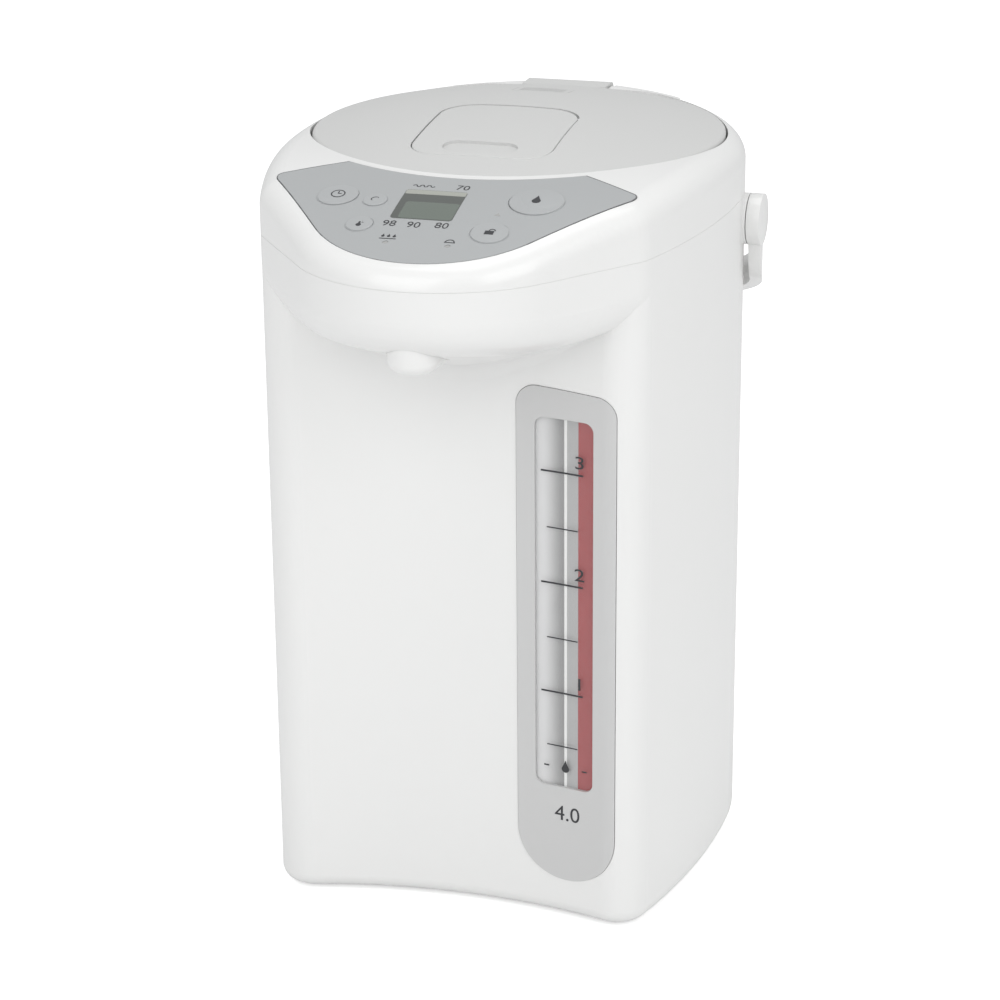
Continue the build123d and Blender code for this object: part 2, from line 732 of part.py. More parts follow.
lid_screws_at = [(lid_screw_ring * cos(radians(a)), lid_screw_ring * sin(radians(a))) for a in lid_screw_angles]
with BuildPart() as lid_shell:
    add(plan_prism(lid_plan, 0, lid_skirt_bottom, dome_height + 5))
    add(under_dome(), mode=Mode.INTERSECT)
    fillet(top_face(lid_shell.part).edges(), lid_edge_round)
    with BuildSketch(level(lid_skirt_bottom)):
        add(lid_plan.sketch)
        offset(amount=-lid_skin)
    extrude(amount=lid_plate_sheet + fit_gap, mode=Mode.SUBTRACT)
    add(lid_hollow.part, mode=Mode.SUBTRACT)
    add(pocket_block.part)
    boss_top = dome_height - lid_screw_ring**2 / (2 * dome_radius) - lid_skin / 2
    add(rod(level(lid_inside + fit_gap), lid_screws_at, 3.0, boss_top - lid_inside))
    add(hinge_arm.part)
    add(lever_pocket.part, mode=Mode.SUBTRACT)
    add(rod(level(lid_skirt_bottom), lid_screws_at, 1.2, 10), mode=Mode.SUBTRACT)
    add(rod(upright(-hinge_half_length - 1), [(hinge_y, hinge_z)], hinge_pin_radius + running_gap,
            2 * hinge_half_length + 2), mode=Mode.SUBTRACT)
    add(rod(upright(-lever_pin_half), [(lever_axis_y, lever_axis_z)], lever_pin_radius, 2 * lever_pin_half),
        mode=Mode.SUBTRACT)
    add(box_prism(level(latch_bottom - latch_gap), 0, -lid_radius, 2 * (latch_half_width + latch_gap), 16,
                  latch_height + 2 * latch_gap), mode=Mode.SUBTRACT)
    add(box_prism(level(dome_height - 8), 0, vent_y, 2 * (vent_half_width + fit_gap),
                  2 * (vent_half_depth + fit_gap), 20), mode=Mode.SUBTRACT)

with BuildPart() as finger_scoop:
    with BuildSketch(level(lever_pocket_floor)):
        with Locations((0, scoop_y)):
            RectangleRounded(scoop_width, scoop_length, scoop_length / 2 - 0.1)
    extrude(amount=headroom)
    add(under_dome(scoop_depth), mode=Mode.SUBTRACT)

with BuildPart() as lid_lever:
    add(lever_form.part)
    add(rod(upright(-lever_pin_half), [(lever_axis_y, lever_axis_z)], lever_pin_radius + running_gap,
            2 * lever_pin_half), mode=Mode.SUBTRACT)
    fillet(top_face(lid_lever.part).outer_wire().edges(), lever_edge_round)
    add(finger_scoop.part, mode=Mode.SUBTRACT)

with BuildPart() as lever_pin:
    add(rod(upright(-lever_pin_half + 0.2), [(lever_axis_y, lever_axis_z)], lever_pin_radius,
            2 * lever_pin_half - 0.4))

with BuildPart() as hinge_pin:
    add(rod(upright(-hinge_pin_reach + 0.2), [(hinge_y, hinge_z)], hinge_pin_radius, 2 * hinge_pin_reach - 0.4))

with BuildPart() as lid_base:
    with BuildSketch(level(lid_skirt_bottom)):
        add(lid_plan.sketch)
        offset(amount=-(lid_skin + fit_gap))
    extrude(amount=lid_plate_sheet - 0.1)
    with BuildSketch(upright(0)):
        with BuildLine():
            Polyline((0, bowl_bottom), (bowl_floor_radius, bowl_bottom), (bowl_top_radius, lid_skirt_bottom),
                     (bowl_top_radius, lid_skirt_bottom + 1), (0, lid_skirt_bottom + 1), close=True)
        make_face()
    revolve(axis=pot_axis())
    with BuildSketch(upright(0)):
        with BuildLine():
            Polyline((0, bowl_bottom + bowl_wall), (bowl_floor_radius - bowl_wall, bowl_bottom + bowl_wall),
                     (bowl_top_radius - bowl_wall, lid_skirt_bottom),
                     (bowl_top_radius - bowl_wall, lid_inside + 1), (0, lid_inside + 1), close=True)
        make_face()
    revolve(axis=pot_axis(), mode=Mode.SUBTRACT)
    add(plan_prism(lid_plan, lid_skin + fit_gap, bowl_bottom, lid_inside - 0.1), mode=Mode.INTERSECT)
    for side in (1, -1):
        add(box_prism(level(bowl_bottom + 1), side * (latch_half_width + latch_gap + 1), latch_tail_y + 1, 2,
                      2 * guide_half, latch_bottom + latch_height - bowl_bottom))
    add(box_prism(level(bowl_bottom + 1), 0, latch_tail_y + spring_room + guide_half / 2,
                  2 * (latch_half_width + latch_gap + 2), 3, latch_bottom + latch_height - bowl_bottom))
    add(rod(level(bowl_bottom - 1), [(0, vent_y)], vent_radius, 10), mode=Mode.SUBTRACT)
    add(rod(level(bowl_bottom - 1), lid_screws_at, 1.5, 30), mode=Mode.SUBTRACT)

with BuildPart() as inner_cover:
    add(rod(level(bowl_bottom - inner_cover_sheet - fit_gap), [(0, 0)], gasket_inner - fit_gap, inner_cover_sheet))
    with BuildSketch(level(bowl_bottom - 3)):
        with Locations((0, vent_y)):
            with PolarLocations(3.4, 6):
                Circle(0.9)
    extrude(amount=3, mode=Mode.SUBTRACT)
    fillet(inner_cover.faces().sort_by(Axis.Z)[0].edges().sort_by(SortBy.LENGTH)[-1:], 0.4)

with BuildPart() as lid_gasket:
    with BuildSketch(upright(0)):
        with BuildLine():
            Polyline((gasket_inner, bowl_bottom - fit_gap), (gasket_inner, bowl_bottom - 2),
                     (gasket_outer - 3, gasket_bottom), (gasket_outer, gasket_bottom),
                     (gasket_outer, gasket_bottom + 1), (bowl_floor_radius + 1.4, bowl_bottom - fit_gap),
                     close=True)
        make_face()
    revolve(axis=pot_axis())

with BuildPart() as vent_tube:
    add(rod(level(bowl_bottom + fit_gap), [(0, vent_y)], vent_radius - fit_gap,
            dome_height - 9.5 - bowl_bottom, vent_radius - 1.6))

with BuildPart() as vent_cover:
    add(box_prism(level(dome_height - 7), 0, vent_y, 2 * vent_half_width, 2 * vent_half_depth, 20))
    add(under_dome(), mode=Mode.INTERSECT)
    add(rod(level(dome_height - 8), [(0, vent_y)], vent_radius - 1, 4), mode=Mode.SUBTRACT)
    with BuildSketch(level(dome_height - 8)):
        with Locations((0, vent_y)):
            with GridLocations(0, 3.6, 1, 3):
                SlotOverall(2 * vent_half_width - 5, 1.5)
    extrude(amount=20, mode=Mode.SUBTRACT)

with BuildPart() as lid_latch:
    with BuildSketch(level(latch_bottom)):
        with Locations((0, latch_tip_y)):
            Rectangle(2 * latch_half_width, latch_tail_y - latch_tip_y, align=(Align.CENTER, Align.MIN))
    extrude(amount=latch_height)
    chamfer(lid_latch.edges().group_by(Axis.Y)[0].sort_by(Axis.Z)[0], latch_bevel)

spring_length = spring_room - 2 * moving_gap
with BuildPart() as latch_spring:
    with BuildLine() as coil:
        Helix(spring_length / spring_turns, spring_length, spring_radius,
              center=(0, axis_y + latch_tail_y + moving_gap, latch_bottom + latch_height / 2),
              direction=(0, 1, 0))
    with BuildSketch(Plane(origin=coil.line @ 0, z_dir=coil.line % 0)):
        Circle(spring_wire)
    sweep(is_frenet=True)

with BuildPart() as lid_screws:
    add(rod(level(lid_skirt_bottom - 1.4), lid_screws_at, 2.6, 1.3))
    add(rod(level(lid_skirt_bottom - 0.2), lid_screws_at, 1.2, 9))


# ---- inner pot and what stands round it ----
pot_outer = pot_radius + pot_sheet
spigot = (pump_x, pump_y)
with BuildPart() as inner_pot:
    with BuildSketch(upright(0)) as pot_half:
        with BuildLine():
            Polyline((0, pot_floor - pot_sheet), (pot_outer, pot_floor - pot_sheet), (pot_outer, pot_rim - pot_sheet),
                     (flange_radius, pot_rim - pot_sheet), (flange_radius, pot_rim),
                     (0, pot_rim), close=True)
        make_face()
        lower = [v for v in pot_half.vertices() if abs(v.Y - axis_y - pot_outer) < 0.1 and v.Z < pot_floor]
        fillet(lower, pot_corner_radius + pot_sheet)
    revolve(axis=pot_axis())
    with BuildSketch(upright(0)) as pot_hollow:
        with BuildLine():
            Polyline((0, pot_floor), (pot_radius, pot_floor), (pot_radius, pot_rim + 1), (0, pot_rim + 1),
                     close=True)
        make_face()
        lower = [v for v in pot_hollow.vertices() if abs(v.Y - axis_y - pot_radius) < 0.1 and v.Z < pot_rim]
        fillet(lower, pot_corner_radius)
    revolve(axis=pot_axis(), mode=Mode.SUBTRACT)
    add(rod(level(pump_top + 2), [spigot], spigot_radius, pot_floor - pump_top - 2.5))
    add(rod(level(pump_top + 1), [spigot], spigot_radius - 1.2, pot_floor - pump_top + 2), mode=Mode.SUBTRACT)

with BuildPart() as pot_gasket:
    add(rod(level(pot_rim), [(0, 0)], flange_radius - fit_gap, seal_thickness, collar_radius - 0.8))

with BuildPart() as heat_shield:
    shield_foot = tray_height + fit_gap
    add(rod(level(shield_foot), [(0, 0)], shield_radius, pot_rim - pot_sheet - fit_gap - shield_foot,
            shield_radius - shield_sheet))

tray_posts = [(tray_post_ring * cos(radians(a)), tray_post_ring * sin(radians(a))) for a in (90, 210, 330)]
with BuildPart() as lower_tray:
    add(rod(level(tray_height - tray_sheet), [(0, 0)], tray_radius, tray_sheet))
    add(rod(level(tray_height - tray_sheet), [(0, 0)], tray_radius, tray_sheet + 4, tray_radius - 0.8))
    add(rod(level(tray_height - tray_sheet - 1), [spigot], spigot_radius + 2.5, tray_sheet + 2),
        mode=Mode.SUBTRACT)
    add(rod(level(tray_height - tray_sheet - 1), tray_posts, screw_radius, tray_sheet + 2), mode=Mode.SUBTRACT)
    with BuildSketch(level(tray_height - tray_sheet)):
        with PolarLocations(32, 8, start_angle=20):
            SlotOverall(22, 5, rotation=90)
        with Locations(spigot):
            Circle(spigot_radius + 6, mode=Mode.SUBTRACT)
    extrude(amount=tray_sheet, mode=Mode.SUBTRACT)

with BuildPart() as tray_pegs:
    add(rod(level(tray_height), tray_posts, screw_head_radius, 1.4))
    add(rod(level(tray_height - 10), tray_posts, screw_radius - 0.2, 11))

with BuildPart() as band_heater:
    add(rod(level(band_bottom), [(0, 0)], pot_outer + fit_gap + band_sheet, band_height, pot_outer + fit_gap))
    add(box_prism(level(band_bottom + 4), 0, pot_outer + 2, 12, 3.6, band_height - 8))

with BuildPart() as pot_thermostat:
    add(rod(level(tray_height + fit_gap), [(thermostat_x, thermostat_y)], 9,
            pot_floor - pot_sheet - tray_height - 2 * fit_gap - 3))
    add(rod(level(pot_floor - pot_sheet - fit_gap - 4), [(thermostat_x, thermostat_y)], 12, 4))

# ---- base ----
with BuildPart() as base_cover:
    add(plan_prism(casing_plan, cover_inset + fit_gap, cover_bottom, cover_seat))
    add(plan_prism(casing_plan, opening_inset + fit_gap, cover_bottom, casing_foot + cover_sheet))
    with BuildSketch(level(casing_foot + cover_sheet - 0.5)):
        with Locations(*tray_posts):
            Circle(post_radius)
    extrude(amount=tray_height - tray_sheet - casing_foot - cover_sheet + 0.5)
    with BuildSketch(level(tray_height - 14)):
        with Locations(*tray_posts):
            Circle(screw_radius - 0.2)
    extrude(amount=14, mode=Mode.SUBTRACT)
    with BuildSketch(level(cover_bottom)):
        with Locations(*casing_posts):
            Circle(screw_radius)
        with Locations((0, vent_grid_y)):
            with GridLocations(0, vent_pitch, 1, vent_rows):
                SlotOverall(vent_length, vent_slot)
    extrude(amount=10, mode=Mode.SUBTRACT)
    with BuildSketch(level(cover_bottom)):
        with Locations(*foot_places):
            Circle(foot_radius - 2 + fit_gap)
    extrude(amount=0.9, mode=Mode.SUBTRACT)

with BuildPart() as rubber_feet:
    add(rod(level(0), foot_places, foot_radius, cover_bottom - 0.05))
    chamfer(rubber_feet.faces().group_by(Axis.Z)[0].edges(), 0.5)
    add(rod(level(0.6), foot_places, foot_radius - 2, cover_bottom + 0.2))

with BuildPart() as base_screws:
    add(rod(level(cover_bottom - screw_head), casing_posts, screw_head_radius, screw_head - 0.02))
    add(rod(level(cover_bottom - screw_head / 2), casing_posts, screw_radius - 0.2, 18))

# ---- pump and water path ----
outlet_y = pump_y - sqrt(pump_radius**2 - (tube_x - pump_x) ** 2)
outlet_z = (pump_bottom + pump_top) / 2
with BuildPart() as pump_housing:
    add(rod(level(pump_bottom), [spigot], pump_radius, pump_top - pump_bottom))
    add(rod(level(pump_top - 1), [spigot], spigot_radius + 2, 5))
    add(rod(facing(pump_y - 8), [(tube_x, outlet_z)], hose_bore - 0.05, pump_y - 8 - outlet_y + 7))
    add(rod(level(pump_bottom + pump_wall), [spigot], impeller_radius + 1,
            pump_top - pump_bottom - 2 * pump_wall), mode=Mode.SUBTRACT)
    add(rod(level(pump_top - 5), [spigot], spigot_radius + fit_gap, 12), mode=Mode.SUBTRACT)
    add(rod(level(pump_bottom - 1), [spigot], shaft_radius + running_gap, 6), mode=Mode.SUBTRACT)
    add(rod(facing(pump_y - 8), [(tube_x, outlet_z)], hose_bore - 1.2, 40), mode=Mode.SUBTRACT)

with BuildPart() as pump_motor:
    add(rod(level(motor_bottom), [spigot], motor_radius, pump_bottom - motor_bottom - 0.05))
    fillet(pump_motor.edges().filter_by(GeomType.CIRCLE), 1.2)
    add(rod(level(pump_bottom - 9), [spigot], shaft_radius + running_gap, 12), mode=Mode.SUBTRACT)

with BuildPart() as pump_impeller:
    add(rod(level(pump_bottom + pump_wall + moving_gap), [spigot], impeller_radius, 1.2))
    add(rod(level(pump_bottom - 8), [spigot], shaft_radius, 12))
    add(rod(level(pump_bottom + pump_wall + moving_gap + 0.5), [spigot], hub_radius, vane_height - 0.8))
    with BuildSketch(level(pump_bottom + pump_wall + moving_gap + 0.5)):
        with Locations(spigot):
            with PolarLocations((impeller_radius + hub_radius) / 2 - 0.8, vane_count):
                Rectangle(impeller_radius - hub_radius, vane_sheet)
    extrude(amount=vane_height)

seal_reach = 6.0
with BuildPart() as gauge_tube:
    add(rod(level(tube_bottom), [(tube_x, tube_y)], tube_radius, tube_top - tube_bottom, tube_bore))

with BuildPart() as tube_seals:
    for joint in (tube_bottom, tube_top):
        add(rod(level(joint - seal_reach), [(tube_x, tube_y)], tube_radius + 2, 2 * seal_reach, tube_radius + 0.02))

with BuildPart() as lower_hose:
    add(hose([(tube_x, outlet_y - 3, outlet_z), (tube_x, tube_y, outlet_z),
              (tube_x, tube_y, tube_bottom - 0.1)], hose_bend, hose_bore))

inlet_span = hypot(tube_x, tube_y - spout_y)
inlet_reach = (valve_radius + 0.2) / inlet_span
with BuildPart() as upper_hose:
    add(hose([(tube_x, tube_y, tube_top + 0.1), (tube_x, tube_y, hose_level),
              (tube_x * inlet_reach, spout_y + (tube_y - spout_y) * inlet_reach, hose_level)],
             hose_bend, hose_bore))

cavity_floor = valve_bottom + valve_wall
ball_z = cavity_floor + 0.3 + ball_radius
cavity_top = ball_z + ball_radius + ball_lift + 0.4
with BuildPart() as tip_valve_body:
    add(rod(level(valve_bottom), [(0, spout_y)], valve_radius, cavity_top + valve_wall - valve_bottom))
    add(rod(level(cavity_floor), [(0, spout_y)], ball_radius + 1.4, cavity_top - cavity_floor), mode=Mode.SUBTRACT)
    with BuildSketch(level(valve_bottom)):
        with Locations((0, spout_y)):
            with PolarLocations(ball_radius - 0.2, 3):
                Circle(1.1)
    extrude(amount=valve_wall, mode=Mode.SUBTRACT)
    add(rod(Plane(origin=(0, axis_y + spout_y, hose_level), z_dir=(tube_x, tube_y - spout_y, 0)), [(0, 0)],
            hose_radius - 1.6, valve_radius + 2), mode=Mode.SUBTRACT)

with BuildPart() as tip_valve_ball:
    with Locations((0, axis_y + spout_y, ball_z)):
        Sphere(ball_radius)

with BuildPart() as spout_nozzle:
    extrude(spout_outline(), amount=valve_bottom - spout_bottom - 0.05, dir=(0, 0, 1))
    lower_edges = spout_nozzle.faces().sort_by(Axis.Z)[0].edges()
    fillet(lower_edges, spout_edge_round)
    add(rod(level(spout_bottom - 1), [(0, spout_y)], spout_bore, 40), mode=Mode.SUBTRACT)

# ---- gauge ----
with BuildPart() as gauge_bezel:
    add(wall_band(bezel_proud, bezel_sheet - bezel_proud, gauge_outline()))
    extrude(window_outline(fit_gap), amount=60, dir=(0, 1, 0), mode=Mode.SUBTRACT)

with BuildPart() as gauge_window:
    add(wall_band(bezel_proud - window_sunk, window_sheet - bezel_proud + window_sunk, window_outline()))

tray_front_y = front_wall_y + 0.5
with BuildPart() as gauge_backing:
    add(box_prism(facing(tray_back_y), tray_middle_x, tray_middle_z, tray_width, tray_length,
                  tray_back_y - tray_front_y))
    add(box_prism(facing(tray_back_y - tray_wall), tray_middle_x, tray_middle_z, tray_width - 2 * tray_wall,
                  tray_length - 2 * tray_wall, 30), mode=Mode.SUBTRACT)
    add(rod(level(tube_bottom), [(tube_x, tube_y)], tube_radius + fit_gap, tube_top - tube_bottom),
        mode=Mode.SUBTRACT)

with BuildPart() as gauge_stripe:
    add(box_prism(facing(tray_back_y - tray_wall - 0.05), (stripe_left + stripe_right) / 2, tray_middle_z,
                  stripe_right - stripe_left, window_top - window_bottom, 0.6))

# ---- control panel ----
def deck_band(top, bottom):
    """Layer that follows the deck between two depths."""
    with BuildPart() as layer:
        add(under_deck(top))
        add(under_deck(bottom), mode=Mode.SUBTRACT)
    return layer.part


with BuildPart() as control_panel:
    add(plan_prism(panel_plan, 0, ring_foot, ring_top + headroom))
    add(deck_band(0, panel_sheet), mode=Mode.INTERSECT)
    for name in keys:
        add(panel_key(name, key_gap), mode=Mode.SUBTRACT)
    add(box_prism(deck_plane(lcd_x, lcd_y, hole_depth), 0, 0, lcd_width, lcd_depth, hole_length), mode=Mode.SUBTRACT)
    for place in lamp_places:
        add(rod(deck_plane(*place, hole_depth), [(0, 0)], lamp_radius + 0.1, hole_length), mode=Mode.SUBTRACT)

with BuildPart() as lcd_window:
    add(box_prism(deck_plane(lcd_x, lcd_y, hole_depth), 0, 0, lcd_width - fit_gap, lcd_depth - fit_gap,
                  hole_length))
    add(deck_band(lcd_sunk, panel_sheet), mode=Mode.INTERSECT)

with BuildPart() as lcd_module:
    add(box_prism(deck_plane(lcd_x, lcd_y, board_depth), 0, 0, lcd_width + 2, lcd_depth + 2,
                  board_depth - deck_skin - 0.6))

board_plane = deck_plane(0, board_middle_y, board_depth + board_sheet)
with BuildPart() as control_board:
    with BuildSketch(board_plane):
        with BuildLine():
            Polyline((-board_half_width, board_rear), (board_half_width, board_rear),
                     (board_half_width, board_shoulder), (board_front_half, board_front),
                     (-board_front_half, board_front), (-board_half_width, board_shoulder), close=True)
        make_face()
    extrude(amount=board_sheet - 0.05)

with BuildPart() as indicator_lamps:
    for place in lamp_places:
        add(rod(deck_plane(*place, board_depth), [(0, 0)], lamp_radius, board_depth))


def key_solid(name):
    """Key cap, retaining flange and stem, square to the deck."""
    x, y, radius = keys[name]
    plane_foot = key_travel + key_gap + x**2 / (2 * crown_radius)
    with BuildPart() as key:
        add(rod(deck_plane(x, y, deck_skin + flange_drop), [(0, 0)], radius, deck_skin + 7))
        add(under_deck(-key_proud), mode=Mode.INTERSECT)
        fillet(top_face(key.part).edges(), key_proud * 0.7)
        add(rod(deck_plane(x, y, deck_skin + flange_drop), [(0, 0)], radius + 1.3, 1.0))
        add(rod(deck_plane(x, y, board_depth - plane_foot), [(0, 0)], 1.8, board_depth - plane_foot - deck_skin))
    return key.part


with BuildPart() as key_timer:
    add(key_solid("key_timer"))
with BuildPart() as key_reboil:
    add(key_solid("key_reboil"))
with BuildPart() as key_temperature:
    add(key_solid("key_temperature"))
with BuildPart() as key_dispense:
    add(key_solid("key_dispense"))
with BuildPart() as key_unlock:
    add(key_solid("key_unlock"))

# ---- handle ----
bail_radius = ear_outer_x
bail_centre_y = handle_reach - bail_radius
bail_arm_x = bail_radius - bail_thickness / 2
bail_low = ear_z - bail_drop
with BuildPart() as bail_strip:
    with BuildSketch(upright(-bail_radius - 5)) as bail_side:
        with BuildLine() as bail_path:
            FilletPolyline((ear_y, ear_z), (bail_elbow_y, ear_z - bail_elbow_drop),
                           (handle_reach + 10, bail_low), radius=bail_bend)
        trace(line_width=bail_height)
        with Locations((ear_y, ear_z)):
            Circle(ear_radius)
    extrude(amount=2 * bail_radius + 10)

with BuildPart() as handle:
    with BuildSketch(level(bail_low - bail_height)):
        with Locations((0, bail_centre_y)):
            Circle(bail_radius)
            Circle(bail_radius - bail_thickness, mode=Mode.SUBTRACT)
            Rectangle(4 * bail_radius, 2 * bail_radius, align=(Align.CENTER, Align.MAX), mode=Mode.SUBTRACT)
        with Locations((-bail_arm_x, bail_centre_y), (bail_arm_x, bail_centre_y)):
            Rectangle(bail_thickness, 2 * ear_radius, align=(Align.CENTER, Align.MAX))
    extrude(amount=bail_drop + 3 * bail_height)
    add(bail_strip.part, mode=Mode.INTERSECT)
    for side in (1, -1):
        add(rod(upright(side * ear_inner_x), [(ear_y, ear_z)], ear_radius, side * (ear_outer_x - ear_inner_x)))
        add(rod(upright(side * (ear_inner_x - 10)), [(ear_y, ear_z)], ear_radius + moving_gap, side * 10),
            mode=Mode.SUBTRACT)
        add(rod(upright(side * (ear_inner_x - 1)), [(ear_y, ear_z)], handle_pin_radius + running_gap,
                side * pin_socket), mode=Mode.SUBTRACT)

with BuildPart() as handle_pins:
    for side in (1, -1):
        add(rod(upright(side * (casing_half_width - 10)), [(ear_y, ear_z)], handle_pin_radius,
                side * (ear_inner_x - 1 + pin_socket - 0.4 - casing_half_width + 10)))

# ---- power side ----
with BuildPart() as power_inlet:
    add(box_prism(level(inlet_bottom), 0, (inlet_front_y + casing_half_width + 4) / 2, 2 * inlet_half_width,
                  casing_half_width + 4 - inlet_front_y, inlet_top - inlet_bottom))
    add(plan_prism(casing_plan, 0.1, inlet_bottom, inlet_top), mode=Mode.INTERSECT)
    add(box_prism(facing(inlet_front_y + inlet_wall), 0, inlet_middle, 2 * (inlet_half_width - inlet_wall),
                  inlet_top - inlet_bottom - 2 * inlet_wall, -40), mode=Mode.SUBTRACT)
    for side in (1, -1):
        add(rod(facing(inlet_front_y + inlet_wall), [(side * inlet_pin_pitch / 2, inlet_middle)],
                inlet_pin_radius, 20), mode=Mode.SUBTRACT)

with BuildPart() as inlet_pins:
    for side in (1, -1):
        add(rod(facing(casing_half_width - 6), [(side * inlet_pin_pitch / 2, inlet_middle)], inlet_pin_radius,
                casing_half_width - 6 - inlet_front_y))

board_floor = casing_foot + cover_sheet
with BuildPart() as power_board:
    add(box_prism(level(board_floor + 5), power_x, power_y, power_width, power_depth, board_sheet))
    with BuildSketch(level(board_floor + 0.1)):
        with Locations((power_x, power_y)):
            with GridLocations(power_width - 10, power_depth - 10, 2, 2):
                Circle(2.5)
    extrude(amount=5)

with BuildPart() as transformer:
    add(box_prism(level(board_floor + 5 + board_sheet + 0.05), power_x - 12, power_y, 30, 26, 22))
    add(box_prism(level(board_floor + 5 + board_sheet + 5), power_x - 12, power_y, 24, 34, 12))

pieces = {
    "body_casing": body_casing, "top_ring": top_ring, "base_cover": base_cover, "rubber_feet": rubber_feet,
    "base_screws": base_screws, "control_panel": control_panel, "lcd_window": lcd_window,
    "lcd_module": lcd_module, "control_board": control_board, "indicator_lamps": indicator_lamps,
    "gauge_bezel": gauge_bezel, "gauge_window": gauge_window, "gauge_backing": gauge_backing,
    "gauge_stripe": gauge_stripe, "gauge_tube": gauge_tube, "tube_seals": tube_seals,
    "spout_nozzle": spout_nozzle, "tip_valve_body": tip_valve_body, "tip_valve_ball": tip_valve_ball,
    "inner_pot": inner_pot, "pot_gasket": pot_gasket, "heat_shield": heat_shield, "lower_tray": lower_tray,
    "tray_screws": tray_pegs, "band_heater": band_heater, "pot_thermostat": pot_thermostat,
    "pump_housing": pump_housing, "pump_motor": pump_motor, "pump_impeller": pump_impeller,
    "lower_hose": lower_hose, "upper_hose": upper_hose, "power_board": power_board,
    "transformer": transformer, "power_inlet": power_inlet, "inlet_pins": inlet_pins,
    "handle_pins": handle_pins, "hinge_pin": hinge_pin, "handle": handle, "lid_shell": lid_shell,
    "lid_base": lid_base, "inner_cover": inner_cover, "lid_gasket": lid_gasket, "vent_cover": vent_cover,
    "vent_tube": vent_tube, "lever_pin": lever_pin, "latch_spring": latch_spring, "lid_screws": lid_screws,
    "lid_lever": lid_lever, "lid_latch": lid_latch, "key_timer": key_timer, "key_reboil": key_reboil,
    "key_temperature": key_temperature, "key_dispense": key_dispense, "key_unlock": key_unlock,
}
for label, piece in pieces.items():
    piece.part.label = label
    export_step(piece.part, f"parts/{label}.step")
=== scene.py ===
import bpy
import bmesh
from math import atan, cos, pi, radians, sin, sqrt, tan
from mathutils import Matrix, Vector
from mathutils.bvhtree import BVHTree


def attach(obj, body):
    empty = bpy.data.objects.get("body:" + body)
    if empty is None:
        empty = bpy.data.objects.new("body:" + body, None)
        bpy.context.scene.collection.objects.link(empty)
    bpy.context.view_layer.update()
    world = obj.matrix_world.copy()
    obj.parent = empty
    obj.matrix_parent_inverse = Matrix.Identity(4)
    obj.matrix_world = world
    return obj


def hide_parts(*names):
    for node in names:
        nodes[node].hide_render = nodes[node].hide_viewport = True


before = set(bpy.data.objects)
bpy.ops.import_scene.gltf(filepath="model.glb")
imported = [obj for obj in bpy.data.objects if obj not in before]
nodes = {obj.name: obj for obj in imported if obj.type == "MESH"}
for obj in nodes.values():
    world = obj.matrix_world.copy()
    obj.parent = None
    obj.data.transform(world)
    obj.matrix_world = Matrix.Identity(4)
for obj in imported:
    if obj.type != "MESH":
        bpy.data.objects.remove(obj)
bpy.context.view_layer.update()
print("frame loaded,", len(nodes), "nodes")

# places that several pieces share, in metres; the pot's upright axis stands behind the origin
pot = {
    "axisY": 0.030,
    "crownRadius": 1.5,
    "deckSlope": 0.255,
    "hollowRadius": 0.2476,
    "frontWallY": -0.103,
    "litreStep": 0.0505,
    "potFloor": 0.059,
}
weld = {"fine": 1e-7, "coarse": 1e-6}  # distances under which points merge

grainFacts = {"detail": 3, "slowScale": 14, "slowDetail": 2, "bumpDepth": 0.0002}


def socket(group, name, kind, direction, value=None):
    made = group.interface.new_socket(name=name, in_out=direction, socket_type=kind)
    if value is not None:
        made.default_value = value
    return made


def makeGrainGroup():
    # fine moulded grain: a height for the bump and a slow drift in colour and gloss
    group = bpy.data.node_groups.new("mouldedGrain", "ShaderNodeTree")
    socket(group, "Colour", "NodeSocketColor", "INPUT", (0.8, 0.8, 0.8, 1))
    socket(group, "Roughness", "NodeSocketFloat", "INPUT", 0.4)
    socket(group, "Grain Scale", "NodeSocketFloat", "INPUT", 900)
    socket(group, "Drift", "NodeSocketFloat", "INPUT", 0.02)
    socket(group, "Colour", "NodeSocketColor", "OUTPUT")
    socket(group, "Roughness", "NodeSocketFloat", "OUTPUT")
    socket(group, "Height", "NodeSocketFloat", "OUTPUT")
    tree, link = group.nodes, group.links.new
    given, out = tree.new("NodeGroupInput"), tree.new("NodeGroupOutput")
    place = tree.new("ShaderNodeTexCoord")
    grain = tree.new("ShaderNodeTexNoise")
    grain.inputs["Detail"].default_value = grainFacts["detail"]
    slow = tree.new("ShaderNodeTexNoise")
    slow.inputs["Scale"].default_value = grainFacts["slowScale"]
    slow.inputs["Detail"].default_value = grainFacts["slowDetail"]
    link(place.outputs["Object"], grain.inputs["Vector"])
    link(place.outputs["Object"], slow.inputs["Vector"])
    link(given.outputs["Grain Scale"], grain.inputs["Scale"])
    centred = tree.new("ShaderNodeMath")
    centred.operation = "SUBTRACT"
    centred.inputs[1].default_value = 0.5
    link(slow.outputs["Fac"], centred.inputs[0])
    drift = tree.new("ShaderNodeMath")
    drift.operation = "MULTIPLY"
    link(centred.outputs[0], drift.inputs[0])
    link(given.outputs["Drift"], drift.inputs[1])
    bright = tree.new("ShaderNodeMath")
    bright.operation = "ADD"
    bright.inputs[1].default_value = 1
    link(drift.outputs[0], bright.inputs[0])
    tint = tree.new("ShaderNodeVectorMath")
    tint.operation = "SCALE"
    link(given.outputs["Colour"], tint.inputs[0])
    link(bright.outputs[0], tint.inputs["Scale"])
    rough = tree.new("ShaderNodeMath")
    rough.operation = "ADD"
    link(given.outputs["Roughness"], rough.inputs[0])
    link(drift.outputs[0], rough.inputs[1])
    link(tint.outputs[0], out.inputs["Colour"])
    link(rough.outputs[0], out.inputs["Roughness"])
    link(grain.outputs["Fac"], out.inputs["Height"])
    return group


grainGroup = makeGrainGroup()


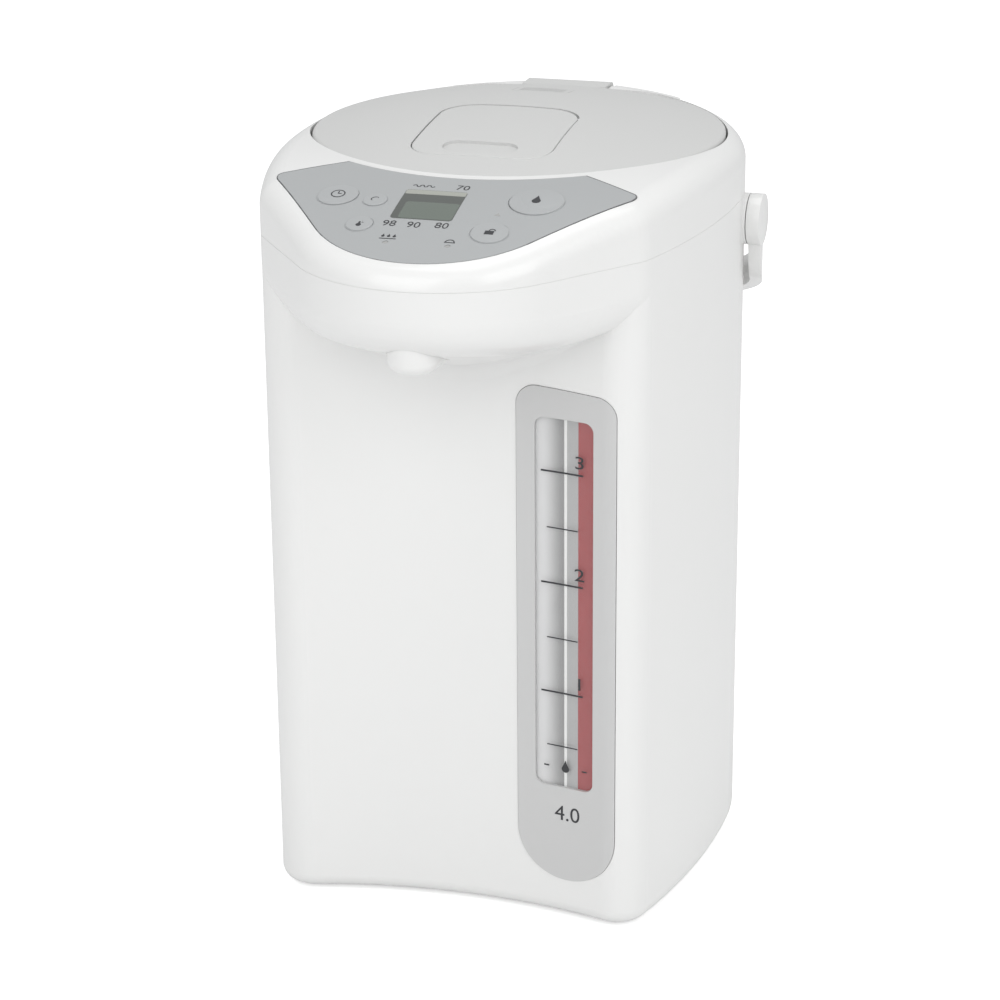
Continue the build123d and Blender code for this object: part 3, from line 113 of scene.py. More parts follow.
def plastic(name, colour, roughness, grainScale=900, bump=0.02, drift=0.03, coat=0.0,
            coatRoughness=0.1, metallic=0.0):
    made = bpy.data.materials.new(name)
    made.use_nodes = True
    tree, link = made.node_tree.nodes, made.node_tree.links.new
    shader = tree["Principled BSDF"]
    grain = tree.new("ShaderNodeGroup")
    grain.node_tree = grainGroup
    grain.inputs["Colour"].default_value = (*colour, 1)
    grain.inputs["Roughness"].default_value = roughness
    grain.inputs["Grain Scale"].default_value = grainScale
    grain.inputs["Drift"].default_value = drift
    raised = tree.new("ShaderNodeBump")
    raised.inputs["Strength"].default_value = bump
    raised.inputs["Distance"].default_value = grainFacts["bumpDepth"]
    link(grain.outputs["Colour"], shader.inputs["Base Color"])
    link(grain.outputs["Roughness"], shader.inputs["Roughness"])
    link(grain.outputs["Height"], raised.inputs["Height"])
    link(raised.outputs["Normal"], shader.inputs["Normal"])
    shader.inputs["Coat Weight"].default_value = coat
    shader.inputs["Coat Roughness"].default_value = coatRoughness
    shader.inputs["Metallic"].default_value = metallic
    return made


def clearPlastic(name, colour, roughness, alpha):
    # clear plastic as a thin veil, which lets the lamps reach what stands behind it
    made = bpy.data.materials.new(name)
    made.use_nodes = True
    tree, link = made.node_tree.nodes, made.node_tree.links.new
    shader = tree["Principled BSDF"]
    grain = tree.new("ShaderNodeGroup")
    grain.node_tree = grainGroup
    grain.inputs["Colour"].default_value = (*colour, 1)
    grain.inputs["Roughness"].default_value = roughness
    grain.inputs["Grain Scale"].default_value = 300
    grain.inputs["Drift"].default_value = 0.02
    link(grain.outputs["Colour"], shader.inputs["Base Color"])
    link(grain.outputs["Roughness"], shader.inputs["Roughness"])
    shader.inputs["Alpha"].default_value = alpha
    return made


def zonedPlastic(name, light, dark, roughness, axis, start, end):
    # plastic with painted shade, darkening steadily along one axis of the object
    made = plastic(name, light, roughness)
    tree, link = made.node_tree.nodes, made.node_tree.links.new
    place = tree.new("ShaderNodeTexCoord")
    parts = tree.new("ShaderNodeSeparateXYZ")
    zone = tree.new("ShaderNodeMapRange")
    zone.interpolation_type = "SMOOTHSTEP"
    zone.inputs["From Min"].default_value = start
    zone.inputs["From Max"].default_value = end
    blend = tree.new("ShaderNodeMix")
    blend.data_type = "RGBA"
    blend.inputs["A"].default_value = (*light, 1)
    blend.inputs["B"].default_value = (*dark, 1)
    link(place.outputs["Object"], parts.inputs[0])
    link(parts.outputs[axis], zone.inputs["Value"])
    link(zone.outputs[0], blend.inputs["Factor"])
    grain = next(n for n in tree if n.type == "GROUP")
    link(blend.outputs["Result"], grain.inputs["Colour"])
    return made


finishes = {
    "gloss": plastic("glossyWhite", (0.82, 0.82, 0.81), 0.28, 700, 0.03, 0.015, coat=0.35,
                     coatRoughness=0.08),
    "satin": plastic("satinWhite", (0.61, 0.612, 0.603), 0.42, 1400, 0.10, 0.02),
    "panel": plastic("panelGrey", (0.408, 0.420, 0.424), 0.38, 1800, 0.05, 0.02),
    "key": plastic("keyGrey", (0.416, 0.428, 0.432), 0.36, 1800, 0.05, 0.02),
    "bezel": plastic("bezelSilver", (0.585, 0.585, 0.582), 0.34, 1500, 0.04, 0.02, coat=0.2),
    # painted shade: the gauge backing darkens towards the level tube in front of it
    "backing": zonedPlastic("gaugeWhitePaintedShade", (0.80, 0.80, 0.80), (0.66, 0.66, 0.66), 0.5, "X",
                            0.0395, 0.0485),
    "red": plastic("gaugeRed", (0.36, 0.036, 0.040), 0.4, 900, 0.02, 0.03),
    "ink": plastic("printInk", (0.035, 0.036, 0.04), 0.55, 1500, 0.02, 0.05),
    "dark": plastic("darkPlastic", (0.03, 0.03, 0.032), 0.45, 900, 0.05, 0.05),
    "board": plastic("boardGreen", (0.02, 0.11, 0.04), 0.4, 600, 0.04, 0.08),
    "rubber": plastic("blackRubber", (0.02, 0.02, 0.021), 0.8, 800, 0.15, 0.1),
    "silicone": plastic("paleSilicone", (0.62, 0.61, 0.58), 0.5, 800, 0.05, 0.04),
    "steel": plastic("brushedSteel", (0.62, 0.62, 0.63), 0.28, 400, 0.03, 0.08, metallic=1.0),
    "zinc": plastic("zincSheet", (0.55, 0.56, 0.57), 0.42, 300, 0.05, 0.12, metallic=1.0),
    "brass": plastic("inletBrass", (0.71, 0.52, 0.25), 0.3, 500, 0.03, 0.06, metallic=1.0),
    "mica": plastic("micaBand", (0.32, 0.24, 0.14), 0.5, 300, 0.1, 0.12),
    "lcd": plastic("lcdGlass", (0.145, 0.170, 0.147), 0.24, 900, 0.02, 0.03),
    "lamp": plastic("lampPale", (0.40, 0.40, 0.39), 0.2, 900, 0.02, 0.02),
    "clear": clearPlastic("clearWindow", (0.80, 0.80, 0.80), 0.06, 0.06),
    "tube": clearPlastic("tubeGlass", (0.62, 0.63, 0.63), 0.08, 0.22),
    # painted light: a pale strip standing in for the lit top wall of the display's recess
    "edge": plastic("displayPaintedLitWall", (0.38, 0.39, 0.35), 0.4, 1200, 0.02, 0.04),
    "shadow": plastic("edgeShadow", (0.16, 0.165, 0.17), 0.6, 1200, 0.02, 0.03),
    # painted shade: the card darkens towards the line, standing in for the shading of the level
    # tube
    "card": zonedPlastic("gaugeCardPaintedShade", (0.72, 0.72, 0.72), (0.27, 0.27, 0.27), 0.5, "X",
                         0.0385, 0.0488),
    "frost": clearPlastic("frostedStrip", (0.56, 0.56, 0.56), 0.35, 0.74),
    # painted highlight: a bright line standing in for the highlight on the level tube
    "line": plastic("tubePaintedHighlight", (0.86, 0.86, 0.85), 0.4, 900, 0.02, 0.02),
    # dark frame of the display, also serving as painted shadow inside its recess
    "frame": plastic("lcdFrameAndPaintedShadow", (0.095, 0.103, 0.095), 0.30, 1200, 0.02, 0.05),
}

nodeFinish = {
    "body_casing": "gloss", "top_ring": "gloss", "handle": "gloss", "spout_nozzle": "gloss",
    "lid_shell": "satin", "lid_lever": "satin", "lid_base": "satin", "vent_cover": "satin",
    "vent_tube": "satin", "lid_latch": "satin", "base_cover": "satin", "control_panel": "panel",
    "gauge_bezel": "bezel", "gauge_backing": "backing", "gauge_stripe": "red",
    "gauge_window": "clear", "gauge_tube": "tube", "lcd_window": "clear", "lcd_module": "lcd",
    "control_board": "board", "power_board": "board", "indicator_lamps": "lamp",
    "rubber_feet": "rubber", "base_screws": "zinc", "tray_screws": "zinc", "lid_screws": "zinc",
    "lower_tray": "zinc", "heat_shield": "zinc", "inner_pot": "steel", "inner_cover": "steel",
    "pump_motor": "zinc", "handle_pins": "steel", "hinge_pin": "steel", "lever_pin": "steel",
    "latch_spring": "steel", "tip_valve_ball": "steel", "inlet_pins": "brass",
    "band_heater": "mica", "pot_thermostat": "dark", "transformer": "dark", "power_inlet": "dark",
    "pump_housing": "satin", "pump_impeller": "satin", "tip_valve_body": "satin",
    "pot_gasket": "silicone", "lid_gasket": "silicone", "tube_seals": "silicone",
    "lower_hose": "silicone", "upper_hose": "silicone", "key_timer": "key", "key_reboil": "key",
    "key_temperature": "key", "key_dispense": "key", "key_unlock": "key",
}
for nodeName, finish in nodeFinish.items():
    node = nodes[nodeName]
    if not node.data.materials:
        node.data.materials.append(None)
    for place in node.material_slots:
        place.material = finishes[finish]
print("finishes on", len(nodeFinish), "nodes")


# camera, lamps and floor
cameraFacts = {"turn": 16.034, "drop": 20.054, "roll": -0.45, "focal": 107.98, "sensor": 36,
               "place": (0.351248, -1.227332, 0.632405), "clipEnd": 50}
lens = bpy.data.cameras.new("view")
lens.lens = cameraFacts["focal"]
lens.sensor_width = cameraFacts["sensor"]
lens.clip_end = cameraFacts["clipEnd"]
camera = bpy.data.objects.new("view", lens)
camera.location = cameraFacts["place"]
turned = Matrix.Rotation(radians(cameraFacts["turn"]), 3, "Z")
tilted = Matrix.Rotation(radians(90 - cameraFacts["drop"]), 3, "X")
rolled = Matrix.Rotation(radians(cameraFacts["roll"]), 3, "Z")
camera.rotation_euler = (turned @ tilted @ rolled).to_euler()
bpy.context.scene.collection.objects.link(camera)
bpy.context.scene.camera = camera

lamps = {
    "key": {"place": (-0.55, -1.75, 1.35), "aim": (0, 0, 0.2), "size": 1.6, "power": 12},
    "fill": {"place": (1.6, -1.0, 1.2), "aim": (0, 0, 0.17), "size": 1.4, "power": 10.5},
    "top": {"place": (0.1, 0.2, 1.9), "aim": (0, 0, 0.3), "size": 1.2, "power": 7},
}
for lampName, facts in lamps.items():
    data = bpy.data.lights.new(lampName, "AREA")
    data.shape = "SQUARE"
    data.size = facts["size"]
    data.energy = facts["power"]
    lamp = bpy.data.objects.new(lampName, data)
    lamp.location = facts["place"]
    sight = Vector(facts["aim"]) - Vector(facts["place"])
    lamp.rotation_euler = sight.to_track_quat("-Z", "Y").to_euler()
    bpy.context.scene.collection.objects.link(lamp)

studio = {"air": (0.985, 0.992, 1.0), "airStrength": 0.62, "white": (1, 1, 1), "whiteStrength": 1.0,
          "floorHalf": 6, "floorGrey": (0.9, 0.9, 0.9), "floorRoughness": 0.9, "floorLift": 0.50}
world = bpy.data.worlds.new("studio")
bpy.context.scene.world = world
world.use_nodes = True
tree, link = world.node_tree.nodes, world.node_tree.links.new
air = tree["Background"]
air.inputs["Color"].default_value = (*studio["air"], 1)
air.inputs["Strength"].default_value = studio["airStrength"]
white = tree.new("ShaderNodeBackground")
white.inputs["Color"].default_value = (*studio["white"], 1)
white.inputs["Strength"].default_value = studio["whiteStrength"]
seen = tree.new("ShaderNodeLightPath")
either = tree.new("ShaderNodeMath")
either.operation = "MAXIMUM"
mix = tree.new("ShaderNodeMixShader")
link(seen.outputs["Is Camera Ray"], either.inputs[0])
link(seen.outputs["Is Transmission Ray"], either.inputs[1])
link(either.outputs[0], mix.inputs["Fac"])
link(air.outputs[0], mix.inputs[1])
link(white.outputs[0], mix.inputs[2])
link(mix.outputs[0], tree["World Output"].inputs["Surface"])
bpy.context.scene.view_settings.view_transform = "Standard"

floorMesh = bpy.data.meshes.new("floor")
shape = bmesh.new()
bmesh.ops.create_grid(shape, x_segments=1, y_segments=1, size=studio["floorHalf"])
shape.to_mesh(floorMesh)
shape.free()
floorFinish = bpy.data.materials.new("paleFloor")
floorFinish.use_nodes = True
tree, link = floorFinish.node_tree.nodes, floorFinish.node_tree.links.new
shader = tree["Principled BSDF"]
shader.inputs["Base Color"].default_value = (*studio["floorGrey"], 1)
shader.inputs["Roughness"].default_value = studio["floorRoughness"]
shader.inputs["Specular IOR Level"].default_value = 0.0
shader.inputs["Emission Color"].default_value = (*studio["white"], 1)
seen = tree.new("ShaderNodeLightPath")
lift = tree.new("ShaderNodeMath")
lift.operation = "MULTIPLY"
lift.inputs[1].default_value = studio["floorLift"]
link(seen.outputs["Is Camera Ray"], lift.inputs[0])
link(lift.outputs[0], shader.inputs["Emission Strength"])
floorMesh.materials.append(floorFinish)
floor = bpy.data.objects.new("floor", floorMesh)
bpy.context.scene.collection.objects.link(floor)
print("camera, lamps and floor set")

surfaces = {}
farOff = 2  # metres, well outside the pot


def treeOf(mesh):
    # search tree over a mesh's own faces
    corners = [v.co.copy() for v in mesh.vertices]
    return BVHTree.FromPolygons(corners, [tuple(p.vertices) for p in mesh.polygons])


def surfaceOf(nodeName):
    # the tree of a node or a cap, so that prints lie on it
    if nodeName not in surfaces:
        surfaces[nodeName] = treeOf(nodes[nodeName].data)
    return surfaces[nodeName]


def drape(shape, nodeName, direction, lift):
    # every point moves along the direction until it lies on the node,
    # then back out by the lift and its own height
    tree = surfaceOf(nodeName)
    way = Vector(direction)
    for v in shape.verts:
        height = v.co.dot(way)
        start = v.co - way * (height + farOff)
        hit = tree.ray_cast(start, way)[0]
        if hit is not None:
            v.co = hit - way * (lift - height)


def addPiece(name, shape, finish, body, smooth=True):
    bmesh.ops.remove_doubles(shape, verts=shape.verts, dist=weld["fine"])
    bmesh.ops.recalc_face_normals(shape, faces=shape.faces)
    mesh = bpy.data.meshes.new(name)
    shape.to_mesh(mesh)
    shape.free()
    for face in mesh.polygons:
        face.use_smooth = smooth
    mesh.materials.append(finishes[finish])
    piece = bpy.data.objects.new(name, mesh)
    bpy.context.scene.collection.objects.link(piece)
    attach(piece, body)
    return piece


def sharpen(piece, angle=35):
    # keeps crisp corners on a smooth shaded piece
    piece.data.set_sharp_from_angle(angle=radians(angle))


def thicken(shape, depth):
    # a flat print becomes a thin closed slab; its height is measured against the draping direction
    flat = list(shape.faces)
    grown = bmesh.ops.extrude_face_region(shape, geom=flat)["geom"]
    moved = [g for g in grown if isinstance(g, bmesh.types.BMVert)]
    bmesh.ops.translate(shape, verts=moved, vec=(0, 0, depth))


strokeFacts = {"textSteps": 4, "discSteps": 24, "ringSteps": 28, "arrowSteps": 3, "pinch": 0.75}


def textShape(words, size):
    curve = bpy.data.curves.new("letters", "FONT")
    curve.body = words
    curve.size = size
    curve.align_x = "CENTER"
    curve.align_y = "CENTER"
    curve.resolution_u = strokeFacts["textSteps"]
    holder = bpy.data.objects.new("letters", curve)
    mesh = bpy.data.meshes.new_from_object(holder)
    shape = bmesh.new()
    shape.from_mesh(mesh)
    bpy.data.objects.remove(holder)
    bpy.data.curves.remove(curve)
    bpy.data.meshes.remove(mesh)
    bmesh.ops.remove_doubles(shape, verts=shape.verts, dist=weld["coarse"])
    return shape


def bar(shape, x, y, width, height, cuts=1):
    made = bmesh.ops.create_grid(shape, x_segments=cuts, y_segments=1, size=0.5)["verts"]
    bmesh.ops.scale(shape, verts=made, vec=(width, height, 1))
    bmesh.ops.translate(shape, verts=made, vec=(x, y, 0))


def disc(shape, x, y, radius, tip=0.0):
    # a dot, drawn out into a drop where it has a tip
    made = bmesh.ops.create_circle(shape, cap_ends=True, radius=radius,
                                   segments=strokeFacts["discSteps"])["verts"]
    if tip:
        for v in made:
            if v.co.y > 0:
                reach = v.co.y / radius
                v.co.y += tip * reach**3
                v.co.x *= 1 - strokeFacts["pinch"] * reach**2
    bmesh.ops.translate(shape, verts=made, vec=(x, y, 0))


def arrow(shape, x, y, radius):
    made = bmesh.ops.create_circle(shape, cap_ends=True, radius=radius,
                                   segments=strokeFacts["arrowSteps"])["verts"]
    bmesh.ops.translate(shape, verts=made, vec=(x, y, 0))


def ring(shape, x, y, radius, width, start=0.0, sweep=360.0):
    # a flat ring or part of one; only its own points move to its place
    first = [shape.verts.new((radius + s * width / 2, 0, 0)) for s in (-1, 1)]
    edge = shape.edges.new(first)
    bmesh.ops.rotate(shape, verts=first, cent=(0, 0, 0),
                     matrix=Matrix.Rotation(radians(start), 3, "Z"))
    bmesh.ops.spin(shape, geom=[edge, *first], cent=(0, 0, 0), axis=(0, 0, 1),
                   angle=radians(sweep), steps=strokeFacts["ringSteps"], use_merge=sweep >= 360)
    touched = set(first)
    for face in {f for v in first for f in v.link_faces}:
        touched |= set(face.verts)
    frontier = list(touched)
    while frontier:
        v = frontier.pop()
        for e in v.link_edges:
            other = e.other_vert(v)
            if other not in touched:
                touched.add(other)
                frontier.append(other)
    bmesh.ops.translate(shape, verts=list(touched), vec=(x, y, 0))


def drawn(parts):
    # a flat print made of bars, discs, rings and arrows, each given as its kind and its sizes
    kinds = {"bar": bar, "disc": disc, "ring": ring, "arrow": arrow}
    shape = bmesh.new()
    for kind, *sizes in parts:
        kinds[kind](shape, *sizes)
    return shape


printDepth = 0.00006  # a print's thickness
printLift = printDepth / 4  # how far its back stands off what carries it
upright = Matrix.Rotation(radians(90), 3, "X")


def deckPrint(name, shape, x, y, nodeName, body):
    # a print on the sloping deck: drawn flat, moved to its place and draped downwards
    bmesh.ops.translate(shape, verts=shape.verts, vec=(x, pot["axisY"] + y, 0))
    thicken(shape, printDepth)
    drape(shape, nodeName, (0, 0, -1), printLift)
    return addPiece(name, shape, "ink", body, smooth=False)


def wallPrint(name, shape, x, z, nodeName, body):
    # a print on the front wall: drawn flat, stood upright and draped backwards
    thicken(shape, printDepth)
    bmesh.ops.rotate(shape, verts=shape.verts, cent=(0, 0, 0), matrix=upright)
    bmesh.ops.translate(shape, verts=shape.verts, vec=(x, 0, z))
    drape(shape, nodeName, (0, 1, 0), printLift)
    return addPiece(name, shape, "ink", body, smooth=False)


# gauge scale
scale = {
    "left": 0.0384, "right": 0.0579, "line": 0.00080, "lineCuts": 12,
    "halfLeft": 0.0411, "halfRight": 0.0554, "halfLine": 0.00056, "halfCuts": 10,
    "digitX": 0.0562, "digitSize": 0.0080, "digitWide": 1.35, "digitLift": 0.0052,
    "lowZ": 0.0742, "lowLeft": 0.0408, "lowRight": 0.0587, "lowDash": (0.0024, 0.0007),
    "lowCuts": 2,
    "dropX": 0.0497, "dropSink": 0.0004, "dropRadius": 0.0018, "dropTip": 0.0022,
    "volumeX": 0.0507, "volumeZ": 0.0520, "volumeSize": 0.0100,
}


def gaugeBar(name, left, right, z, height, cuts):
    shape = bmesh.new()
    bar(shape, 0, 0, right - left, height, cuts=cuts)
    wallPrint(name, shape, (left + right) / 2, z, "gauge_window", "base")


for litres in (1, 2, 3):
    z = pot["potFloor"] + pot["litreStep"] * litres
    gaugeBar(f"scale_line_{litres}", scale["left"], scale["right"], z, scale["line"],
             scale["lineCuts"])
    digit = textShape(str(litres), scale["digitSize"])
    bmesh.ops.scale(digit, verts=digit.verts, vec=(scale["digitWide"], 1, 1))
    wallPrint(f"scale_digit_{litres}", digit, scale["digitX"], z + scale["digitLift"],
              "gauge_window", "base")
for count in (0, 1, 2):
    z = pot["potFloor"] + pot["litreStep"] * (count + 0.5)
    gaugeBar(f"scale_half_{count}", scale["halfLeft"], scale["halfRight"], z, scale["halfLine"],
             scale["halfCuts"])
for side, x in (("left", scale["lowLeft"]), ("right", scale["lowRight"])):
    shape = bmesh.new()
    bar(shape, 0, 0, *scale["lowDash"], cuts=scale["lowCuts"])
    wallPrint(f"low_mark_{side}", shape, x, scale["lowZ"], "gauge_window", "base")
shape = bmesh.new()
disc(shape, 0, 0, scale["dropRadius"], tip=scale["dropTip"])
wallPrint("low_mark_drop", shape, scale["dropX"], scale["lowZ"] - scale["dropSink"],
          "gauge_window", "base")
wallPrint("volume_mark", textShape("4.0", scale["volumeSize"]), scale["volumeX"],
          scale["volumeZ"], "gauge_bezel", "base")
print("gauge scale printed")

# key panel prints: words and their places, then marks with their strokes
words = {"98": (-0.0158, -0.1390), "90": (-0.0055, -0.1392), "80": (0.0062, -0.1385),
         "70": (0.0057, -0.1060)}
wordSize = 0.0060
for number, (x, y) in words.items():
    deckPrint(f"temperature_mark_{number}", textShape(number, wordSize), x, y, "control_panel",
              "base")
marks = {
    "saving_mark": {"x": -0.0110, "y": -0.1062, "parts": [
        ("ring", step * 0.0030 + side * 0.0008, 0, 0.0008, 0.00045, start, 180)
        for step in (-1, 0, 1) for side, start in ((-1, 0), (1, 180))]},
    "boil_mark": {"x": -0.0130, "y": -0.1490, "parts": [
        ("bar", 0, -0.0014, 0.0070, 0.0005),
        *(("disc", step * 0.0024, 0.0004, 0.0007, 0.0010) for step in (-1, 0, 1))]},
    "warm_mark": {"x": 0.0130, "y": -0.1490, "parts": [
        ("bar", 0, -0.0014, 0.0046, 0.0005), ("ring", 0, -0.0012, 0.0018, 0.0005, 0, 180)]},
    "lock_arrow": {"x": 0.0263, "y": -0.1268, "parts": [("arrow", 0, 0, 0.0016)]},
}
for markName, facts in marks.items():
    mark = deckPrint(markName, drawn(facts["parts"]), facts["x"], facts["y"], "control_panel",
                     "base")
    if markName == "lock_arrow":
        mark.data.materials[0] = finishes["lamp"]

# keys: a shallow dome on each cap, its icon, and the soft collar that closes the gap round it
keyFacts = {
    "timer": (-0.0445, -0.1180, 0.0085), "reboil": (-0.0274, -0.1210, 0.0050),
    "temperature": (-0.0280, -0.1405, 0.0056), "dispense": (0.0390, -0.1135, 0.0112),
    "unlock": (0.0270, -0.1410, 0.0078),
}
keyIcons = {
    "timer": [("ring", 0, 0, 0.0028, 0.0005), ("bar", 0, 0.0009, 0.00045, 0.0020),
              ("bar", 0.0007, 0, 0.0016, 0.00045)],
    "reboil": [("ring", 0, 0, 0.0017, 0.0005, 30, 270), ("arrow", 0.0017, 0.0006, 0.0008)],
    "temperature": [("disc", 0, -0.0015, 0.0011), ("bar", 0, 0.0007, 0.0009, 0.0036),
                    *(("bar", 0.0013, 0.0003 + step * 0.0009, 0.0009, 0.0003)
                      for step in (0, 1, 2))],
    "dispense": [("disc", 0, -0.0006, 0.0019, 0.0024)],
    "unlock": [("bar", 0, -0.0009, 0.0038, 0.0028),
               ("ring", 0.0009, 0.0006, 0.0012, 0.0005, 0, 180)],
}
cap = {"rise": 0.075, "steps": 10, "skirt": 0.0007, "round": 56, "sunk": 0.00042, "sharp": 60,
       "collarGap": 0.00022, "collarWidth": 0.00036, "collarDepth": 0.0010, "collarSunk": 0.00056}
deckTilt = Matrix.Rotation(atan(pot["deckSlope"]), 4, "X")


def keyDome(radius):
    # half an arc and a short skirt, spun round the key's own axis and closed below
    dome = bmesh.new()
    rise = cap["rise"] * radius
    arc = (radius**2 + rise**2) / (2 * rise)
    rim = [dome.verts.new((0, 0, rise))]
    for step in range(1, cap["steps"] + 1):
        reach = radius * step / cap["steps"]
        rim.append(dome.verts.new((reach, 0, rise - arc + sqrt(arc**2 - reach**2))))
    rim.append(dome.verts.new((radius, 0, -cap["skirt"])))
    profile = [dome.edges.new(pair) for pair in zip(rim, rim[1:])]
    bmesh.ops.spin(dome, geom=profile + rim, cent=(0, 0, 0), axis=(0, 0, 1), angle=2 * pi,
                   steps=cap["round"], use_merge=True)
    bmesh.ops.remove_doubles(dome, verts=dome.verts, dist=weld["fine"])
    bmesh.ops.holes_fill(dome, edges=[e for e in dome.edges if e.is_boundary], sides=0)
    return dome


def keyPlace(spot, sunk):
    # tilted with the deck and let in below the key's top
    return Matrix.Translation(spot - Vector((0, 0, sunk))) @ deckTilt


for key, (x, y, radius) in keyFacts.items():
    above = Vector((x, pot["axisY"] + y, 1))
    spot = surfaceOf("key_" + key).ray_cast(above, Vector((0, 0, -1)))[0]
    shape = keyDome(radius)
    bmesh.ops.transform(shape, matrix=keyPlace(spot, cap["sunk"]), verts=shape.verts)
    dome = addPiece(f"{key}_dome", shape, "key", f"{key}_button")
    sharpen(dome, cap["sharp"])
    surfaces[f"{key}_dome"] = treeOf(dome.data)
    deckPrint(f"{key}_icon", drawn(keyIcons[key]), x, y, f"{key}_dome", f"{key}_button")
    shape = bmesh.new()
    ring(shape, 0, 0, radius + cap["collarGap"], cap["collarWidth"])
    thicken(shape, -cap["collarDepth"])
    bmesh.ops.transform(shape, matrix=keyPlace(spot, cap["collarSunk"]), verts=shape.verts)
    addPiece(f"{key}_collar", shape, "panel", "base", smooth=False)
print("panel printed, keys capped")

# display: thin sheets flush on the deck. The dark cover is the display's frame and, in its bands at
# the top and left, painted shadow of the display's recess; the pale edge strip is a painted lit top
# wall of that recess.
display = {"x": -0.0040, "y": -0.1224, "width": 0.0263, "depth": 0.0246, "cleanX": 0.0105,
           "corner": 0.0016, "cornerSteps": 5, "across": 6, "along": 10, "sheet": 0.00003}
displaySheets = {  # left, right, low and high as shares of the display, lift and finish
    # dark frame, with painted shadow where it shows at the top and left
    "display_frame_and_painted_shadow": (0, 1, 0, 1, 0.00003, "frame"),
    "display_field": (0.12, 0.99, 0.02, 0.57, 0.00007, "lcd"),
    # painted light: the lit top wall of the display's recess
    "display_painted_lit_wall": (0.01, 0.99, 0.84, 0.99, 0.00007, "edge"),
}


def deckZ(x, y):
    # height of the crowned deck, read where the panel has no hole at this depth
    clean = Vector((display["cleanX"], y, 1))
    hit = surfaceOf("control_panel").ray_cast(clean, Vector((0, 0, -1)))[0]
    return hit.z + (display["cleanX"] ** 2 - x**2) / (2 * pot["crownRadius"])


def displaySheet(name, left, right, low, high, lift, finish):
    # a grid with rounded corners, raised point by point onto the deck
    shape = bmesh.new()
    made = bmesh.ops.create_grid(shape, x_segments=display["across"],
                                 y_segments=display["along"], size=0.5)["verts"]
    bmesh.ops.scale(shape, verts=made,
                    vec=((right - left) * display["width"], (high - low) * display["depth"], 1))
    bmesh.ops.bevel(shape, geom=[v for v in shape.verts if len(v.link_edges) == 2],
                    offset=display["corner"], segments=display["cornerSteps"], affect="VERTICES",
                    profile=0.5, material=-1)
    middle = (display["x"] + (left + right - 1) / 2 * display["width"],
              pot["axisY"] + display["y"] + (low + high - 1) / 2 * display["depth"], 0)
    bmesh.ops.translate(shape, verts=shape.verts, vec=middle)
    thicken(shape, display["sheet"])
    for v in shape.verts:
        v.co.z += deckZ(v.co.x, v.co.y) + lift
    return addPiece(name, shape, finish, "base", smooth=False)


for sheetName, facts in displaySheets.items():
    displaySheet(sheetName, *facts)

# seam between casing and ring
seam = {"cutZ": 0.3040, "lowZ": 0.3045, "highZ": 0.3053, "inset": 0.00012, "halfWidth": 0.1,
        "wall": 0.0008}


def widestChain(edges):
    # of all connected runs of edges, the one that reaches furthest sideways
    left = set(edges)
    best, reach = [], -1
    while left:
        chain, front = [], [left.pop()]
        while front:
            edge = front.pop()
            chain.append(edge)
            for v in edge.verts:
                for other in v.link_edges:
                    if other in left:
                        left.discard(other)
                        front.append(other)
        size = max(abs(v.co.x) for e in chain for v in e.verts)
        if size > reach:
            best, reach = chain, size
    return set(best)


def keepEdges(shape, kept):
    # everything but these edges goes
    bmesh.ops.delete(shape, geom=shape.faces[:], context="FACES_ONLY")
    bmesh.ops.delete(shape, geom=[e for e in shape.edges if e not in kept], context="EDGES")
    bmesh.ops.delete(shape, geom=[v for v in shape.verts if not v.link_edges], context="VERTS")


def outlineOf(nodeName, height):
    # the node's outer outline at one height, as a loop of edges
    shape = bmesh.new()
    shape.from_mesh(nodes[nodeName].data)
    bmesh.ops.remove_doubles(shape, verts=shape.verts, dist=weld["coarse"])
    bmesh.ops.bisect_plane(shape, geom=shape.verts[:] + shape.edges[:] + shape.faces[:],
                           dist=weld["fine"], plane_co=(0, 0, height), plane_no=(0, 0, 1),
                           clear_inner=True, clear_outer=True)
    keepEdges(shape, widestChain(shape.edges))
    return shape


def ribbon(shape, drop, wall):
    # loose edges grow downwards into a strip with a thickness
    grown = bmesh.ops.extrude_edge_only(shape, edges=shape.edges[:])["geom"]
    lower = [g for g in grown if isinstance(g, bmesh.types.BMVert)]
    bmesh.ops.translate(shape, verts=lower, vec=(0, 0, -drop))
    bmesh.ops.recalc_face_normals(shape, faces=shape.faces)
    bmesh.ops.solidify(shape, geom=shape.faces[:], thickness=wall)


shape = outlineOf("body_casing", seam["cutZ"])
share = 1 - seam["inset"] / seam["halfWidth"]
bmesh.ops.scale(shape, verts=shape.verts, vec=(share, share, 1))
bmesh.ops.translate(shape, verts=shape.verts, vec=(0, 0, seam["highZ"] - seam["cutZ"]))
ribbon(shape, seam["highZ"] - seam["lowZ"], seam["wall"])
addPiece("casing_seam", shape, "gloss", "base")

# dark line along the panel's front edge
edgeLine = {"rearRadius": 0.0982, "upward": 0.8, "sideways": 0.5, "proud": 0.00004,
            "drop": 0.0006, "wall": 0.00042}
shape = bmesh.new()
shape.from_mesh(nodes["control_panel"].data)
bmesh.ops.remove_doubles(shape, verts=shape.verts, dist=weld["coarse"])
shape.normal_update()
rim = []
for edge in shape.edges:
    if len(edge.link_faces) == 2:
        up, side = sorted((face.normal.z for face in edge.link_faces), reverse=True)
        if up > edgeLine["upward"] and abs(side) < edgeLine["sideways"]:
            rim.append(edge)
front = set()
for edge in widestChain(rim):
    middle = (edge.verts[0].co + edge.verts[1].co) / 2
    if sqrt(middle.x**2 + (middle.y - pot["axisY"]) ** 2) > edgeLine["rearRadius"]:
        front.add(edge)
keepEdges(shape, front)
bmesh.ops.translate(shape, verts=shape.verts, vec=(0, 0, edgeLine["proud"]))
ribbon(shape, edgeLine["drop"], edgeLine["wall"])
